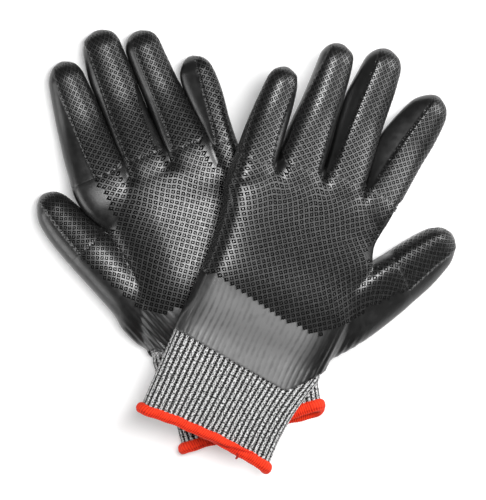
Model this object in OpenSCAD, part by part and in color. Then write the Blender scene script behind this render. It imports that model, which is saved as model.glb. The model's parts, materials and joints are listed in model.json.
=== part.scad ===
// Pair of rubber-coated knit work gloves, palms up, the right-hand glove crossed on the left-hand one.
// Millimetres, +Z up. The origin is on the floor under the middle of the left palm.
// Each glove is drawn as a right hand with its back on the floor: +X to the thumb, +Y to the fingertips.

/* [Hand] */
// Width of the palm across its middle
palm_width = 93; // [90:1:96]
// Thickness of the palm, front to back
palm_thickness = 26; // [24:1:28]
// Length from the wrist to the root of the middle finger
hand_length = 111; // [108:1:116]
// Width of the hand at the wrist
wrist_width = 94; // [91:1:97]
// Thickness of the hand at the wrist
wrist_thickness = 17; // [15:1:19]

/* [Fingers] */
// Width of the index, middle and ring fingers at the root
finger_width = 25.4; // [24:0.2:26]
// Width of the little finger at the root
little_width = 22; // [20:0.2:23]
// Thickness of a finger at the root
finger_thickness = 19.5; // [18:0.5:21]
// Length of the index finger from its root
index_length = 75; // [69:1:81]
// Length of the middle finger from its root
middle_length = 87; // [81:1:93]
// Length of the ring finger from its root
ring_length = 82; // [76:1:88]
// Length of the little finger from its root
little_length = 63; // [57:1:69]
// Place of a finger's middle bend, as a share of its length
bend_share = 0.45; // [0.4:0.01:0.5]

/* [Thumb] */
// Width of the thumb at its base bend
thumb_width = 28; // [25:1:29]
// Thickness of the thumb at its base bend
thumb_thickness = 23; // [21:1:24]
// Length of the thumb from its base bend
thumb_length = 46; // [42:1:50]
// Length from the heel of the thumb to its base bend
thumb_heel = 36; // [34:1:38]

/* [Cuff] */
// Length of the rib-knit cuff
cuff_length = 56; // [46:1:66]
// Width of the cuff at the hem
cuff_width = 87; // [82:1:92]
// Thickness of the flattened cuff
cuff_thickness = 13; // [12:0.5:15]
// Distance from one knit rib to the next
rib_pitch = 3.5; // [3:0.1:5]
// Height of the overlocked hem along the cuff
hem_height = 5.6; // [4:0.2:7]

/* [Layers] */
// Wall of the knit liner
liner_wall = 1; // [0.8:0.1:1.3]
// Wall of the smooth rubber coat
coat_wall = 0.8; // [0.6:0.1:1.1]
// Wall of the embossed grip on the palm
grip_wall = 0.9; // [0.6:0.1:1.2]
// Distance between the main lines embossed in the palm grip
grip_line_pitch = 21; // [18:1:27]
// Wall of the knit cuff
cuff_wall = 1.6; // [1.2:0.1:2]
// Width of the elastic yarn inside the cuff
yarn_width = 0.8; // [0.6:0.1:1]

/* [Lie of the pair] */
// Turn of the left glove about the vertical
left_turn = 21; // [20:0.5:22]
// Turn of the right glove about the vertical
right_turn = -21; // [-22:0.5:-20]
// Roll of the right glove, thumb side down
right_roll = 15.5; // [14:0.5:16]
// Pitch of the right glove, fingers up
right_pitch = 0; // [0:0.5:1]

/* [Hidden] */
// Gap left between bonded layers, and between the two solids at a bend
layer_gap = 0.15;
bend_gap = 0.4;
// Clearance between neighbouring fingers at the root
finger_clearance = 0.8;
// Clearance between the back of a digit and the floor
floor_clearance = 0.4;
// Loss of width from the root of a digit to its tip, as a share, and the length of its rounded end
tip_taper = 0.18;
thumb_taper = 0.2;
dome_length = 10;
// How far a finger's root runs back into the hand, and how far a cutting form runs past an opening
root_overlap = 17;
cut_reach = 1;
// Sides of a digit's section, of a palm section and of a hem section
digit_sides = 12;
palm_sides = 24;
hem_sides = 44;
// Exponents of the rounded-rectangle sections
digit_power = 2.3;
palm_power = 2.8;
// How far the palm's sections would round below the floor, which cuts the flat back
back_flat = 0.7;
// Depth of the knit ribs
rib_depth = 0.5;
// Turns of elastic yarn and steps in a turn
yarn_turns = 4;
yarn_steps = 16;
// Sideways shift of the hem against the wrist, left and right glove, toward the thumb
left_hem_shift = 10;
right_hem_shift = -6;
// Slope of the hem line against the wrist, left and right glove: rise toward the thumb for each step across
left_hem_slope = 0.075;
right_hem_slope = -0.065;
// Spread of the fingers toward the thumb, in degrees: index, middle, ring, little
left_spread = [1, -0.5, 1.6, -1];
right_spread = [10, 0, -1, -2];
// Spread of the thumb, in degrees
left_thumb_spread = 23;
right_thumb_spread = 38;
// Sizes that the places below were read at
palm_width_read = 93;
hand_length_read = 111;
palm_thickness_read = 26;
palm_middle_read = 60;
width_scale = palm_width / palm_width_read;
length_scale = hand_length / hand_length_read;
// Distance from the wrist to the palm point over the origin
palm_middle = palm_middle_read * length_scale;
// Place of the right glove's wrist: across and along the floor, and its height over it
right_wrist_place = [32, -67.7];
right_wrist_height = 24.5;
right_wrist = [
    right_wrist_place.x,
    right_wrist_place.y,
    right_wrist_height + palm_thickness - palm_thickness_read
];
// Heel of the thumb in the palm
thumb_start = [44.5 * width_scale, 40 * length_scale];
// Setback of each finger's root from the middle finger's: index, middle, ring, little
root_setback = [2, 0, 3, 8.5];
// How much thinner the little finger is than the others
little_thinner = 1.5;
// Height of the cuff over the floor
cuff_rise = 0.4;
// Length of the thread tail, width of its thread, and its distance from the middle of the hem
tail_length = 6;
tail_width = 1.1;
tail_side = 21;
// Colours
rubber_black = [0.13, 0.13, 0.14];
grip_grey = [0.2, 0.2, 0.21];
knit_grey = [0.55, 0.55, 0.56];
cuff_grey = [0.68, 0.68, 0.69];
yarn_white = [0.85, 0.85, 0.83];
hem_orange = [0.9, 0.24, 0.12];

// Palm stations: share of the hand's length, little-finger side and thumb side as shares of the
// palm's width, share of the palm's thickness
palm_stations = [
    [0.14, -0.511, 0.495, 0.86],
    [0.32, -0.5, 0.512, 1],
    [0.52, -0.5, 0.495, 1],
    [0.72, -0.505, 0.465, 0.97],
    [0.85, -0.53, 0.535, 0.88],
    [0.925, -0.51, 0.53, 0.76]
];
// Wrist sides as shares of the wrist's width
wrist_sides = [-0.515, 0.485];
// Bow of the knuckle line: its depth, and the place of its crown
knuckle_bow = 7;
knuckle_crown = 12;
knuckle_half = 50;

// Outline of the palm grip at the sizes read, from the little-finger side of the heel round by the thumb
grip_outline = [
    [-41, 35], [-15, 29], [2, 26.5], [22.5, 23.4], [34, 23], [47, 33], [68, 48], [80, 66], [60, 82],
    [44, 82], [46, 95], [60, 125], [-60, 125], [-44, 95], [-42, 60]
];
// Height over the back where the grip ends at the sides
grip_floor = 15;
// Lines embossed in the grip: their width, the rubber left under them, and their turn against the hand
grip_line_width = 1.6;
grip_line_skin = 0.3;
grip_line_turn = 12;

// Order of the values in a digit's record; HEEL is the length of its root inside the hand, BEND the
// place of its middle bend and TAPER its loss of width to the tip
ROOT_X = 0;
ROOT_Y = 1;
SPREAD = 2;
LENGTH = 3;
WIDTH = 4;
THICKNESS = 5;
BEND = 6;
HEEL = 7;
TAPER = 8;
LITTLE = 3;
// Places of the finger roots across the hand
finger_pitch = finger_width + finger_clearance;
little_pitch = (finger_width + little_width) / 2 + finger_clearance;
index_x = 1.5 * finger_pitch;
middle_x = 0.5 * finger_pitch;
ring_x = -0.5 * finger_pitch;
little_x = ring_x - little_pitch;
function finger(order, spread) =
    let (
        root_x = [index_x, middle_x, ring_x, little_x][order],
        root_y = hand_length - root_setback[order],
        length = [index_length, middle_length, ring_length, little_length][order],
        width = order == LITTLE ? little_width : finger_width,
        thickness = order == LITTLE ? finger_thickness - little_thinner : finger_thickness
    )
    [root_x, root_y, spread, length, width, thickness, bend_share * length, root_overlap, tip_taper];
function thumb(spread) = [
    thumb_start.x + thumb_heel * sin(spread),
    thumb_start.y + thumb_heel * cos(spread),
    spread, thumb_length, thumb_width, thumb_thickness, bend_share * thumb_length, thumb_heel, thumb_taper
];
function digits(spread, thumb_spread) =
    [for (order = [0:LITTLE]) finger(order, spread[order]), thumb(thumb_spread)];
left_digits = digits(left_spread, left_thumb_spread);
right_digits = digits(right_spread, right_thumb_spread);

// Points on a unit rounded rectangle
function signed_power(value, power) = sign(value) * pow(abs(value), 2 / power);
function unit_ring(sides, power) = [
    for (i = [0:sides - 1])
        let (angle = (i + 0.5) * 360 / sides)
        [signed_power(cos(angle), power), signed_power(sin(angle), power)]
];
digit_ring_unit = unit_ring(digit_sides, digit_power);
palm_ring_unit = unit_ring(palm_sides, palm_power);

// Section of a digit at a distance from its root, grown or (negative) shrunk
function taper(digit, along) = 1 - digit[TAPER] * max(along, 0) / digit[LENGTH];
function dome(along, length, rounding) =
    along <= length - rounding ? 1 : sqrt(max(0, 1 - pow((along - length + rounding) / rounding, 2)));
function digit_middle(digit, along) = floor_clearance + digit[THICKNESS] / 2 * taper(digit, along);
function digit_point(digit, along, side, height) = [
    digit[ROOT_X] + sin(digit[SPREAD]) * along + cos(digit[SPREAD]) * side,
    digit[ROOT_Y] + cos(digit[SPREAD]) * along - sin(digit[SPREAD]) * side,
    height
];
function digit_ring(digit, along, grow) =
    let (
        narrow = dome(along, digit[LENGTH] + grow, dome_length + grow),
        half_width = (digit[WIDTH] / 2 * taper(digit, along) + grow) * narrow,
        half_height = (digit[THICKNESS] / 2 * taper(digit, along) + grow) * narrow,
        middle = digit_middle(digit, along)
    )
    [for (p = digit_ring_unit) digit_point(digit, along, p.x * half_width, middle + p.y * half_height)];
function digit_tip(digit, grow) =
    digit_point(digit, digit[LENGTH] + grow, 0, digit_middle(digit, digit[LENGTH] + grow));

// Section of the palm at a station, grown or shrunk; station 0 is the wrist
function bowed(y, x) =
    y - knuckle_bow * pow((x - knuckle_crown) / knuckle_half, 2) * pow(max(y, 0) / hand_length, 3);
function palm_ring(place, low, high, thickness, grow) =
    let (
        half_width = (high - low) / 2 + grow,
        half_height = thickness / 2 + back_flat + grow,
        centre = (high + low) / 2
    )
    [
        for (p = palm_ring_unit)
            let (x = centre + p.x * half_width)
            [x, bowed(place, x), max(thickness / 2 + p.y * half_height, -grow)]
    ];
function palm_rings(grow, reach) = [
    palm_ring(-reach, wrist_sides[0] * wrist_width, wrist_sides[1] * wrist_width, wrist_thickness, grow),
    for (s = palm_stations)
        palm_ring(
            s[0] * hand_length + (s == palm_stations[len(palm_stations) - 1] ? grow : 0),
            s[1] * palm_width, s[2] * palm_width, s[3] * palm_thickness, grow
        )
];

// Point and direction around a flattened oval, measured along its edge
function oval_point(half_width, half_height, share) =
    let (
        flat = 2 * (half_width - half_height),
        bend = PI * half_height,
        walk = share * 2 * (flat + bend),
        on_top = walk < flat,
        on_first_end = walk < flat + bend,
        on_underside = walk < 2 * flat + bend
    )
    on_top ? [flat / 2 - walk, half_height]
    : on_first_end ? [
        -flat / 2 - half_height * sin((walk - flat) / half_height * 180 / PI),
        half_height * cos((walk - flat) / half_height * 180 / PI)
    ]
    : on_underside ? [-flat / 2 + walk - flat - bend, -half_height]
    : [
        flat / 2 + half_height * sin((walk - 2 * flat - bend) / half_height * 180 / PI),
        -half_height * cos((walk - 2 * flat - bend) / half_height * 180 / PI)
    ];
// Sizes of the cuff at a distance below the wrist
cuff_run = cuff_length + hem_height;
wrist_centre = (wrist_sides[0] + wrist_sides[1]) / 2 * wrist_width;
function cuff_half_width(below) = (wrist_width + (cuff_width - wrist_width) * below / cuff_length) / 2;
function cuff_half_height(below) =
    (wrist_thickness + (cuff_thickness - wrist_thickness) * below / cuff_length) / 2;
// A lean holds the hem's sideways shift and its slope, both growing from the wrist
left_lean = [left_hem_shift, left_hem_slope];
right_lean = [right_hem_shift, right_hem_slope];
function cuff_centre(below, lean) = wrist_centre + lean[0] * below / cuff_run;
function cuff_point(below, lean, inset, share) =
    let (p = oval_point(cuff_half_width(below) - inset, cuff_half_height(below) - inset, share))
    [
        cuff_centre(below, lean) + p.x,
        p.x * lean[1] * below / cuff_run - below,
        cuff_rise + cuff_half_height(below) + p.y
    ];
cuff_edge = 4 * (cuff_half_width(0) - cuff_half_height(0)) + 2 * PI * cuff_half_height(0);
rib_count = round(cuff_edge / rib_pitch);

// Triangles between neighbouring rings, turned to face out or in
function band_faces(first, second, sides, outward) = [
    for (i = [0:sides - 1])
        let (
            a = first + i,
            b = first + (i + 1) % sides,
            c = second + i,
            d = second + (i + 1) % sides
        )
        each outward ? [[a, b, d], [a, d, c]] : [[a, d, b], [a, c, d]]
];
function fan_faces(ring, tip, sides, outward) = [
    for (i = [0:sides - 1])
        outward ? [ring + i, ring + (i + 1) % sides, tip] : [ring + i, tip, ring + (i + 1) % sides]
];
function joined(rings) = [for (ring = rings) each ring];
function run_faces(start, rings, sides, outward) = [
    for (k = [0:rings - 2])
        each band_faces(start + k * sides, start + (k + 1) * sides, sides, outward)
];
function mean_point(ring) = [for (axis = [0:2]) [for (p = ring) p[axis]] * [for (p = ring) 1] / len(ring)];

// Solid through a row of rings
module loft(rings) {
    sides = len(rings[0]);
    count = len(rings);
    last = (count - 1) * sides;
    tips = count * sides;
    polyhedron(
        points = concat(joined(rings), [mean_point(rings[0]), mean_point(rings[count - 1])]),
        faces = concat(
            fan_faces(0, tips, sides, false),
            run_faces(0, count, sides, true),
            fan_faces(last, tips + 1, sides, true)
        ),
        convexity = 6
    );
}

// Shell between two rows of rings, open at both ends
module sleeve(outer, inner) {
    sides = len(outer[0]);
    count = len(outer);
    start = count * sides;
    last = (count - 1) * sides;
    polyhedron(
        points = concat(joined(outer), joined(inner)),
        faces = concat(
            run_faces(0, count, sides, true),
            run_faces(start, count, sides, false),
            band_faces(0, start, sides, false),
            band_faces(last, start + last, sides, true)
        ),
        convexity = 6
    );
}

// Shell between two rows of rings, open at the first ring and closed at a tip
module stall(outer, outer_tip, inner, inner_tip) {
    sides = len(outer[0]);
    count = len(outer);
    start = count * sides;
    last = (count - 1) * sides;
    tips = 2 * count * sides;
    polyhedron(
        points = concat(joined(outer), joined(inner), [outer_tip, inner_tip]),
        faces = concat(
            run_faces(0, count, sides, true),
            fan_faces(last, tips, sides, true),
            run_faces(start, count, sides, false),
            fan_faces(start + last, tips + 1, sides, false),
            band_faces(0, start, sides, false)
        ),
        convexity = 6
    );
}

// Form of the hand: palm, finger roots and thumb heel, its openings run on by the reach
module hand_form(set, grow, reach) {
    loft(palm_rings(grow, reach));
    for (digit = set) {
        hull() {
            loft([
                digit_ring(digit, -digit[HEEL] - grow, grow),
                digit_ring(digit, reach - bend_gap / 2, grow)
            ]);
        }
    }
}
module hand_shell(set, outer_grow, inner_grow) {
    difference() {
        hand_form(set, outer_grow, 0);
        hand_form(set, inner_grow, cut_reach);
    }
}

// Depths of the layers below the outside of the coat
coat_inside = -coat_wall;
liner_outside = coat_inside - layer_gap;
liner_inside = liner_outside - liner_wall;

module hand_coat(set) {
    hand_shell(set, 0, coat_inside);
}
module hand_liner(set) {
    hand_shell(set, liner_outside, liner_inside);
}
// Upright plates along the grip's main lines, which cross in squares over the whole palm
module grip_lines() {
    reach = hand_length;
    count = floor(reach / grip_line_pitch);
    translate([0, palm_middle, 0]) {
        for (turn = [0, 90], i = [-count:count]) {
            rotate([0, 0, turn - grip_line_turn]) {
                translate([i * grip_line_pitch - grip_line_width / 2, -reach, 0]) {
                    cube([grip_line_width, 2 * reach, 2 * palm_thickness]);
                }
            }
        }
    }
}
module palm_grip(set) {
    difference() {
        intersection() {
            hand_shell(set, layer_gap + grip_wall, layer_gap);
            translate([0, 0, grip_floor]) {
                linear_extrude(height = 2 * palm_thickness) {
                    polygon([for (p = grip_outline) [p.x * width_scale, p.y * length_scale]]);
                }
            }
        }
        difference() {
            grip_lines();
            hand_form(set, layer_gap + grip_line_skin, cut_reach);
        }
    }
}

// One digit's base shell and tip shell, in the layer between two depths
module digit_base(digit, outer_grow, inner_grow) {
    places = [bend_gap / 2, digit[BEND] / 2, digit[BEND] - bend_gap / 2];
    sleeve(
        [for (along = places) digit_ring(digit, along, outer_grow)],
        [for (along = places) digit_ring(digit, along, inner_grow)]
    );
}
// Stations along the rounded end, as shares of its length
dome_shares = [0, 0.58, 0.9];
function tip_places(digit, grow) = [
    digit[BEND] + bend_gap / 2,
    for (share = dome_shares) digit[LENGTH] + grow - (dome_length + grow) * (1 - share)
];
module digit_end(digit, outer_grow, inner_grow) {
    stall(
        [for (along = tip_places(digit, outer_grow)) digit_ring(digit, along, outer_grow)],
        digit_tip(digit, outer_grow),
        [for (along = tip_places(digit, inner_grow)) digit_ring(digit, along, inner_grow)],
        digit_tip(digit, inner_grow)
    );
}
module base_coat(digit) {
    digit_base(digit, 0, coat_inside);
}
module base_liner(digit) {
    digit_base(digit, liner_outside, liner_inside);
}
module end_coat(digit) {
    digit_end(digit, 0, coat_inside);
}
module end_liner(digit) {
    digit_end(digit, liner_outside, liner_inside);
}

// Cuff, its elastic yarn, hem and thread tail
cuff_ends = [layer_gap, cuff_length];
module ribbed_cuff(lean) {
    points = 2 * rib_count;
    sleeve(
        [
            for (below = [cuff_ends[1], cuff_ends[0]])
                [for (i = [0:points - 1]) cuff_point(below, lean, (i % 2) * rib_depth, i / points)]
        ],
        [
            for (below = [cuff_ends[1], cuff_ends[0]])
                [for (i = [0:points - 1]) cuff_point(below, lean, cuff_wall, i / points)]
        ]
    );
}
// Clear length of cuff past the yarn's ends, and the yarn's gap to the cuff
yarn_margin = 6;
yarn_gap = 0.4;
module elastic_yarn(lean) {
    steps = yarn_turns * yarn_steps;
    half = yarn_width / 2;
    depth = cuff_wall + yarn_gap + half;
    pitch = (cuff_length - 2 * yarn_margin) / steps;
    loft([
        for (i = [0:steps])
            let (
                below = cuff_length - yarn_margin - i * pitch,
                share = (i % yarn_steps) / yarn_steps
            )
            [
                cuff_point(below + half, lean, depth + half, share),
                cuff_point(below - half, lean, depth + half, share),
                cuff_point(below - half, lean, depth - half, share),
                cuff_point(below + half, lean, depth - half, share)
            ]
    ]);
}
// How far the hem's thread stands out past the cuff
hem_bulge = 0.3;
module overlock_hem(lean) {
    edges = [cuff_length + hem_height, cuff_length + layer_gap];
    sleeve(
        [
            for (below = edges)
                [for (i = [0:hem_sides - 1]) cuff_point(below, lean, -hem_bulge, i / hem_sides)]
        ],
        [
            for (below = edges)
                [for (i = [0:hem_sides - 1]) cuff_point(below, lean, cuff_wall, i / hem_sides)]
        ]
    );
}
module hem_tail(lean) {
    start = [
        cuff_centre(cuff_run, lean) + tail_side,
        tail_side * lean[1] - cuff_run - layer_gap,
        cuff_rise + cuff_thickness - cuff_wall
    ];
    translate(start) {
        rotate([90, 0, 0]) {
            linear_extrude(height = tail_length) {
                square(tail_width, center = true);
            }
        }
    }
}

// Places of the two gloves
module lie_left() {
    rotate([0, 0, left_turn]) {
        translate([0, -palm_middle, 0]) {
            mirror([1, 0, 0]) {
                children();
            }
        }
    }
}
module lie_right() {
    translate(right_wrist) {
        rotate([right_pitch, right_roll, right_turn]) {
            children();
        }
    }
}

// Left glove
module left_hand_coat() color(rubber_black) lie_left() hand_coat(left_digits);
module left_hand_liner() color(knit_grey) lie_left() hand_liner(left_digits);
module left_palm_grip() color(grip_grey) lie_left() palm_grip(left_digits);
module left_cuff_knit() color(cuff_grey) lie_left() ribbed_cuff(left_lean);
module left_cuff_elastic() color(yarn_white) lie_left() elastic_yarn(left_lean);
module left_hem_overlock() color(hem_orange) lie_left() overlock_hem(left_lean);
module left_index_base_coat() color(rubber_black) lie_left() base_coat(left_digits[0]);
module left_index_base_liner() color(knit_grey) lie_left() base_liner(left_digits[0]);
module left_index_tip_coat() color(rubber_black) lie_left() end_coat(left_digits[0]);
module left_index_tip_liner() color(knit_grey) lie_left() end_liner(left_digits[0]);
module left_middle_base_coat() color(rubber_black) lie_left() base_coat(left_digits[1]);
module left_middle_base_liner() color(knit_grey) lie_left() base_liner(left_digits[1]);
module left_middle_tip_coat() color(rubber_black) lie_left() end_coat(left_digits[1]);
module left_middle_tip_liner() color(knit_grey) lie_left() end_liner(left_digits[1]);
module left_ring_base_coat() color(rubber_black) lie_left() base_coat(left_digits[2]);
module left_ring_base_liner() color(knit_grey) lie_left() base_liner(left_digits[2]);
module left_ring_tip_coat() color(rubber_black) lie_left() end_coat(left_digits[2]);
module left_ring_tip_liner() color(knit_grey) lie_left() end_liner(left_digits[2]);
module left_little_base_coat() color(rubber_black) lie_left() base_coat(left_digits[3]);
module left_little_base_liner() color(knit_grey) lie_left() base_liner(left_digits[3]);
module left_little_tip_coat() color(rubber_black) lie_left() end_coat(left_digits[3]);
module left_little_tip_liner() color(knit_grey) lie_left() end_liner(left_digits[3]);
module left_thumb_base_coat() color(rubber_black) lie_left() base_coat(left_digits[4]);
module left_thumb_base_liner() color(knit_grey) lie_left() base_liner(left_digits[4]);
module left_thumb_tip_coat() color(rubber_black) lie_left() end_coat(left_digits[4]);
module left_thumb_tip_liner() color(knit_grey) lie_left() end_liner(left_digits[4]);

// Right glove
module right_hand_coat() color(rubber_black) lie_right() hand_coat(right_digits);
module right_hand_liner() color(knit_grey) lie_right() hand_liner(right_digits);
module right_palm_grip() color(grip_grey) lie_right() palm_grip(right_digits);
module right_cuff_knit() color(cuff_grey) lie_right() ribbed_cuff(right_lean);
module right_cuff_elastic() color(yarn_white) lie_right() elastic_yarn(right_lean);
module right_hem_overlock() color(hem_orange) lie_right() overlock_hem(right_lean);
module right_hem_tail() color(hem_orange) lie_right() hem_tail(right_lean);
module right_index_base_coat() color(rubber_black) lie_right() base_coat(right_digits[0]);
module right_index_base_liner() color(knit_grey) lie_right() base_liner(right_digits[0]);
module right_index_tip_coat() color(rubber_black) lie_right() end_coat(right_digits[0]);
module right_index_tip_liner() color(knit_grey) lie_right() end_liner(right_digits[0]);
module right_middle_base_coat() color(rubber_black) lie_right() base_coat(right_digits[1]);
module right_middle_base_liner() color(knit_grey) lie_right() base_liner(right_digits[1]);
module right_middle_tip_coat() color(rubber_black) lie_right() end_coat(right_digits[1]);
module right_middle_tip_liner() color(knit_grey) lie_right() end_liner(right_digits[1]);
module right_ring_base_coat() color(rubber_black) lie_right() base_coat(right_digits[2]);
module right_ring_base_liner() color(knit_grey) lie_right() base_liner(right_digits[2]);
module right_ring_tip_coat() color(rubber_black) lie_right() end_coat(right_digits[2]);
module right_ring_tip_liner() color(knit_grey) lie_right() end_liner(right_digits[2]);
module right_little_base_coat() color(rubber_black) lie_right() base_coat(right_digits[3]);
module right_little_base_liner() color(knit_grey) lie_right() base_liner(right_digits[3]);
module right_little_tip_coat() color(rubber_black) lie_right() end_coat(right_digits[3]);
module right_little_tip_liner() color(knit_grey) lie_right() end_liner(right_digits[3]);
module right_thumb_base_coat() color(rubber_black) lie_right() base_coat(right_digits[4]);
module right_thumb_base_liner() color(knit_grey) lie_right() base_liner(right_digits[4]);
module right_thumb_tip_coat() color(rubber_black) lie_right() end_coat(right_digits[4]);
module right_thumb_tip_liner() color(knit_grey) lie_right() end_liner(right_digits[4]);

left_hand_coat();
left_hand_liner();
left_palm_grip();
left_cuff_knit();
left_cuff_elastic();
left_hem_overlock();
left_index_base_coat();
left_index_base_liner();
left_index_tip_coat();
left_index_tip_liner();
left_middle_base_coat();
left_middle_base_liner();
left_middle_tip_coat();
left_middle_tip_liner();
left_ring_base_coat();
left_ring_base_liner();
left_ring_tip_coat();
left_ring_tip_liner();
left_little_base_coat();
left_little_base_liner();
left_little_tip_coat();
left_little_tip_liner();
left_thumb_base_coat();
left_thumb_base_liner();
left_thumb_tip_coat();
left_thumb_tip_liner();
right_hand_coat();
right_hand_liner();
right_palm_grip();
right_cuff_knit();
right_cuff_elastic();
right_hem_overlock();
right_hem_tail();
right_index_base_coat();
right_index_base_liner();
right_index_tip_coat();
right_index_tip_liner();
right_middle_base_coat();
right_middle_base_liner();
right_middle_tip_coat();
right_middle_tip_liner();
right_ring_base_coat();
right_ring_base_liner();
right_ring_tip_coat();
right_ring_tip_liner();
right_little_base_coat();
right_little_base_liner();
right_little_tip_coat();
right_little_tip_liner();
right_thumb_base_coat();
right_thumb_base_liner();
right_thumb_tip_coat();
right_thumb_tip_liner();
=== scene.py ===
"""Looks of a pair of coated knit work gloves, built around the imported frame.

Each glove is built in its own frame in millimetres, as a right hand with its back down: +X to the thumb,
+Y to the fingertips, +Z out of the palm, and the wrist at Y 0. place() lays it in the shared frame,
in metres.
"""
import json
import math

import bpy
import numpy as np
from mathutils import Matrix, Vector
from mathutils.bvhtree import BVHTree


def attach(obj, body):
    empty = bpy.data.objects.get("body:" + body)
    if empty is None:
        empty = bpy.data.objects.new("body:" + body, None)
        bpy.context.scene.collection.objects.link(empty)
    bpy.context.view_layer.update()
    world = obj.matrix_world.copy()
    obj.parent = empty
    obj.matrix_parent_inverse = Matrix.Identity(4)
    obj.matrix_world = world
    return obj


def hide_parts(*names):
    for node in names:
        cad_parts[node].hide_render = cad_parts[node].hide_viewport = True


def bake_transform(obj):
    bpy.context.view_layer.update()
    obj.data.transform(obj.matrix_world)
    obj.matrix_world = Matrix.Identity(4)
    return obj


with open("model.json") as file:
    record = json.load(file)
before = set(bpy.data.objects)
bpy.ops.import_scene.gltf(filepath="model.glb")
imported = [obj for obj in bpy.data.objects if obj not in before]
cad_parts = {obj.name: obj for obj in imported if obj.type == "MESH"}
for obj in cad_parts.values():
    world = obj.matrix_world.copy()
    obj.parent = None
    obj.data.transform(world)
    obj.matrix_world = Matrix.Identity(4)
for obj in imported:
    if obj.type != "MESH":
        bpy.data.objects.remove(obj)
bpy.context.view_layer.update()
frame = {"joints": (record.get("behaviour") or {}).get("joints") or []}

MM = 0.001
SIDES = ("left", "right")
FINGERS = ("index", "middle", "ring", "little")
DIGITS = FINGERS + ("thumb",)
# A distance across a digit that is past its side
EDGE = 22

# Lie of the two gloves, as in the frame
PALM_MIDDLE = 60
LEFT_TURN = math.radians(21)
RIGHT_TURN = math.radians(-21)
RIGHT_ROLL = math.radians(15.5)
RIGHT_WRIST = np.array([32, -67.7, 24.5])

# Hand: [distance from the wrist, little-finger side, thumb side, thickness]
PALM = {
    "left": [
        (0, -48.4, 49.6, 17.0), (15.5, -47.5, 50.0, 22.4), (35.5, -46.5, 49.0, 26.0),
        (57.7, -46.5, 46.0, 26.0), (79.9, -47.0, 46.0, 25.7), (94.4, -45.6, 46.5, 25.2),
        (100, -44.5, 45.0, 24.9), (104, -43.0, 43.0, 24.0), (108, -41.0, 40.0, 19.0),
    ],
    "right": [
        (0, -48.4, 45.6, 17.0), (15.5, -47.5, 46.0, 22.4), (35.5, -46.5, 47.6, 26.0),
        (57.7, -46.5, 47.0, 26.0), (72, -47.5, 49.5, 26.0), (79.9, -48.4, 46.0, 25.9),
        (87, -50, 44.6, 25.6), (94.4, -51.0, 45.8, 25.3), (103, -50.6, 46.6, 24.6),
        (109, -48.5, 45.5, 23.0), (114, -46.0, 43.5, 18.0),
    ],
}
PALM_COLUMNS = 96
PALM_ROW_STEP = 2.5
# Squareness of the palm's section at the heel and at the knuckles, and from where to where it grows
PALM_POWER = {"left": (2.8, 3.2), "right": (5.0, 5.6)}
SQUARER = (60, 88)
# The section reaches this far below the back's level, where it is cut flat
BACK_FLAT = 0.7
# The knuckle end bows back on both sides of its crown
KNUCKLE_BOW = {"left": 15, "right": 7}
KNUCKLE_CROWN = 12
KNUCKLE_HALF = 50
KNUCKLE_REACH = 111
# Hollow of the palm beside the thumb: its place and half sizes [across, along], its depth, and the heights
# over which it sets in
HOLLOW_AT = (27, 70)
HOLLOW_SIZE = (17, 9)
HOLLOW_DEPTH = {"left": 0.5, "right": 0.0}
HOLLOW_RISE = (0, 6)
# Slope of the palm down to the little-finger side: from where across, where it runs out toward the fingers,
# and the heights over which it sets in
PALM_SLOPE = {"left": 0.06, "right": 0.0}
SLOPE_FROM = 18
SLOPE_END = (75, 98)
SLOPE_RISE = (0, 10)

# Digits: [distance from the root, little-finger side edge, thumb side edge], the last one at the tip
OUTLINE = {
    "left": {
        "index": [
            (-46, -17, -3), (-37, -17.3, 2.5), (-24, -17.5, 10.5), (-11, -17.8, 16.8), (0, -18, 18.4),
            (12, -16.8, 17.3), (22, -15.8, 16.2), (34, -15, 14.3), (46, -14.8, 12.2), (58, -14.1, 9.8),
            (77, -12.5, 5.5),
        ],
        "middle": [
            (0, -16.8, 10.4), (15, -15.8, 11.6), (30, -14.6, 11.9), (45, -14.2, 12.2), (57, -13.8, 12.6),
            (68, -13, 11.2), (85, -12.3, 8),
        ],
        "ring": [
            (0, -18.4, 10.8), (15, -16.2, 10.8), (30, -14, 10.5), (45, -12.3, 10.2), (57, -11.7, 10.2),
            (79, -11, 9),
        ],
        "little": [(0, -6, 8.6), (16, -6.6, 10.8), (34, -8.2, 12.2), (46, -7.9, 12.4), (59, -5.5, 9.5)],
        "thumb": [
            (-66, -14, 18), (-54, -14, 20.2), (-44, -14, 19.9), (-37, -14, 17.7), (-30, -14, 17.2),
            (-18, -14, 16.7), (-6, -14.5, 16.3), (13, -12.4, 15.7), (29, -11.2, 13.6), (46, -9, 8),
        ],
    },
    "right": {
        "index": [
            (0, -14.2, 9.2), (15, -16.5, 9.9), (34, -19.4, 10.6), (46, -17.8, 11.1), (60, -14.4, 10.2),
            (74, -9, 7.6),
        ],
        "middle": [
            (0, -13.9, 12.4), (20, -13.9, 12.3), (38, -15, 12), (52, -15.4, 11.6), (64, -13.8, 11.2),
            (86, -10.4, 8.6),
        ],
        "ring": [
            (0, -16.4, 12.3), (15, -15, 12), (30, -14, 11.8), (45, -12.5, 11.3), (60, -11.7, 10.4),
            (81.6, -11, 8),
        ],
        "little": [(0, -14.4, 8), (15, -14.4, 8.8), (30, -13.8, 9.2), (45, -12.2, 8.7), (62.6, -9.8, 6)],
        "thumb": [
            (-66, -16, 18.4), (-42, -16, 19.2), (-20, -17, 18.5), (-8, -18, 17.2), (5, -18, 15.2),
            (19, -18, 12.9), (33, -17, 8.7), (46, -14.5, 3),
        ],
    },
}
RING_SAMPLES = 361
# Squareness of a digit's section: round along the digit, flatter at a finger's root and on two whole digits
DIGIT_POWER = 2.3
ROOT_POWER = 4.2
FLATTER = {("left", "little"): 4.6, ("right", "thumb"): 3.4}
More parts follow.
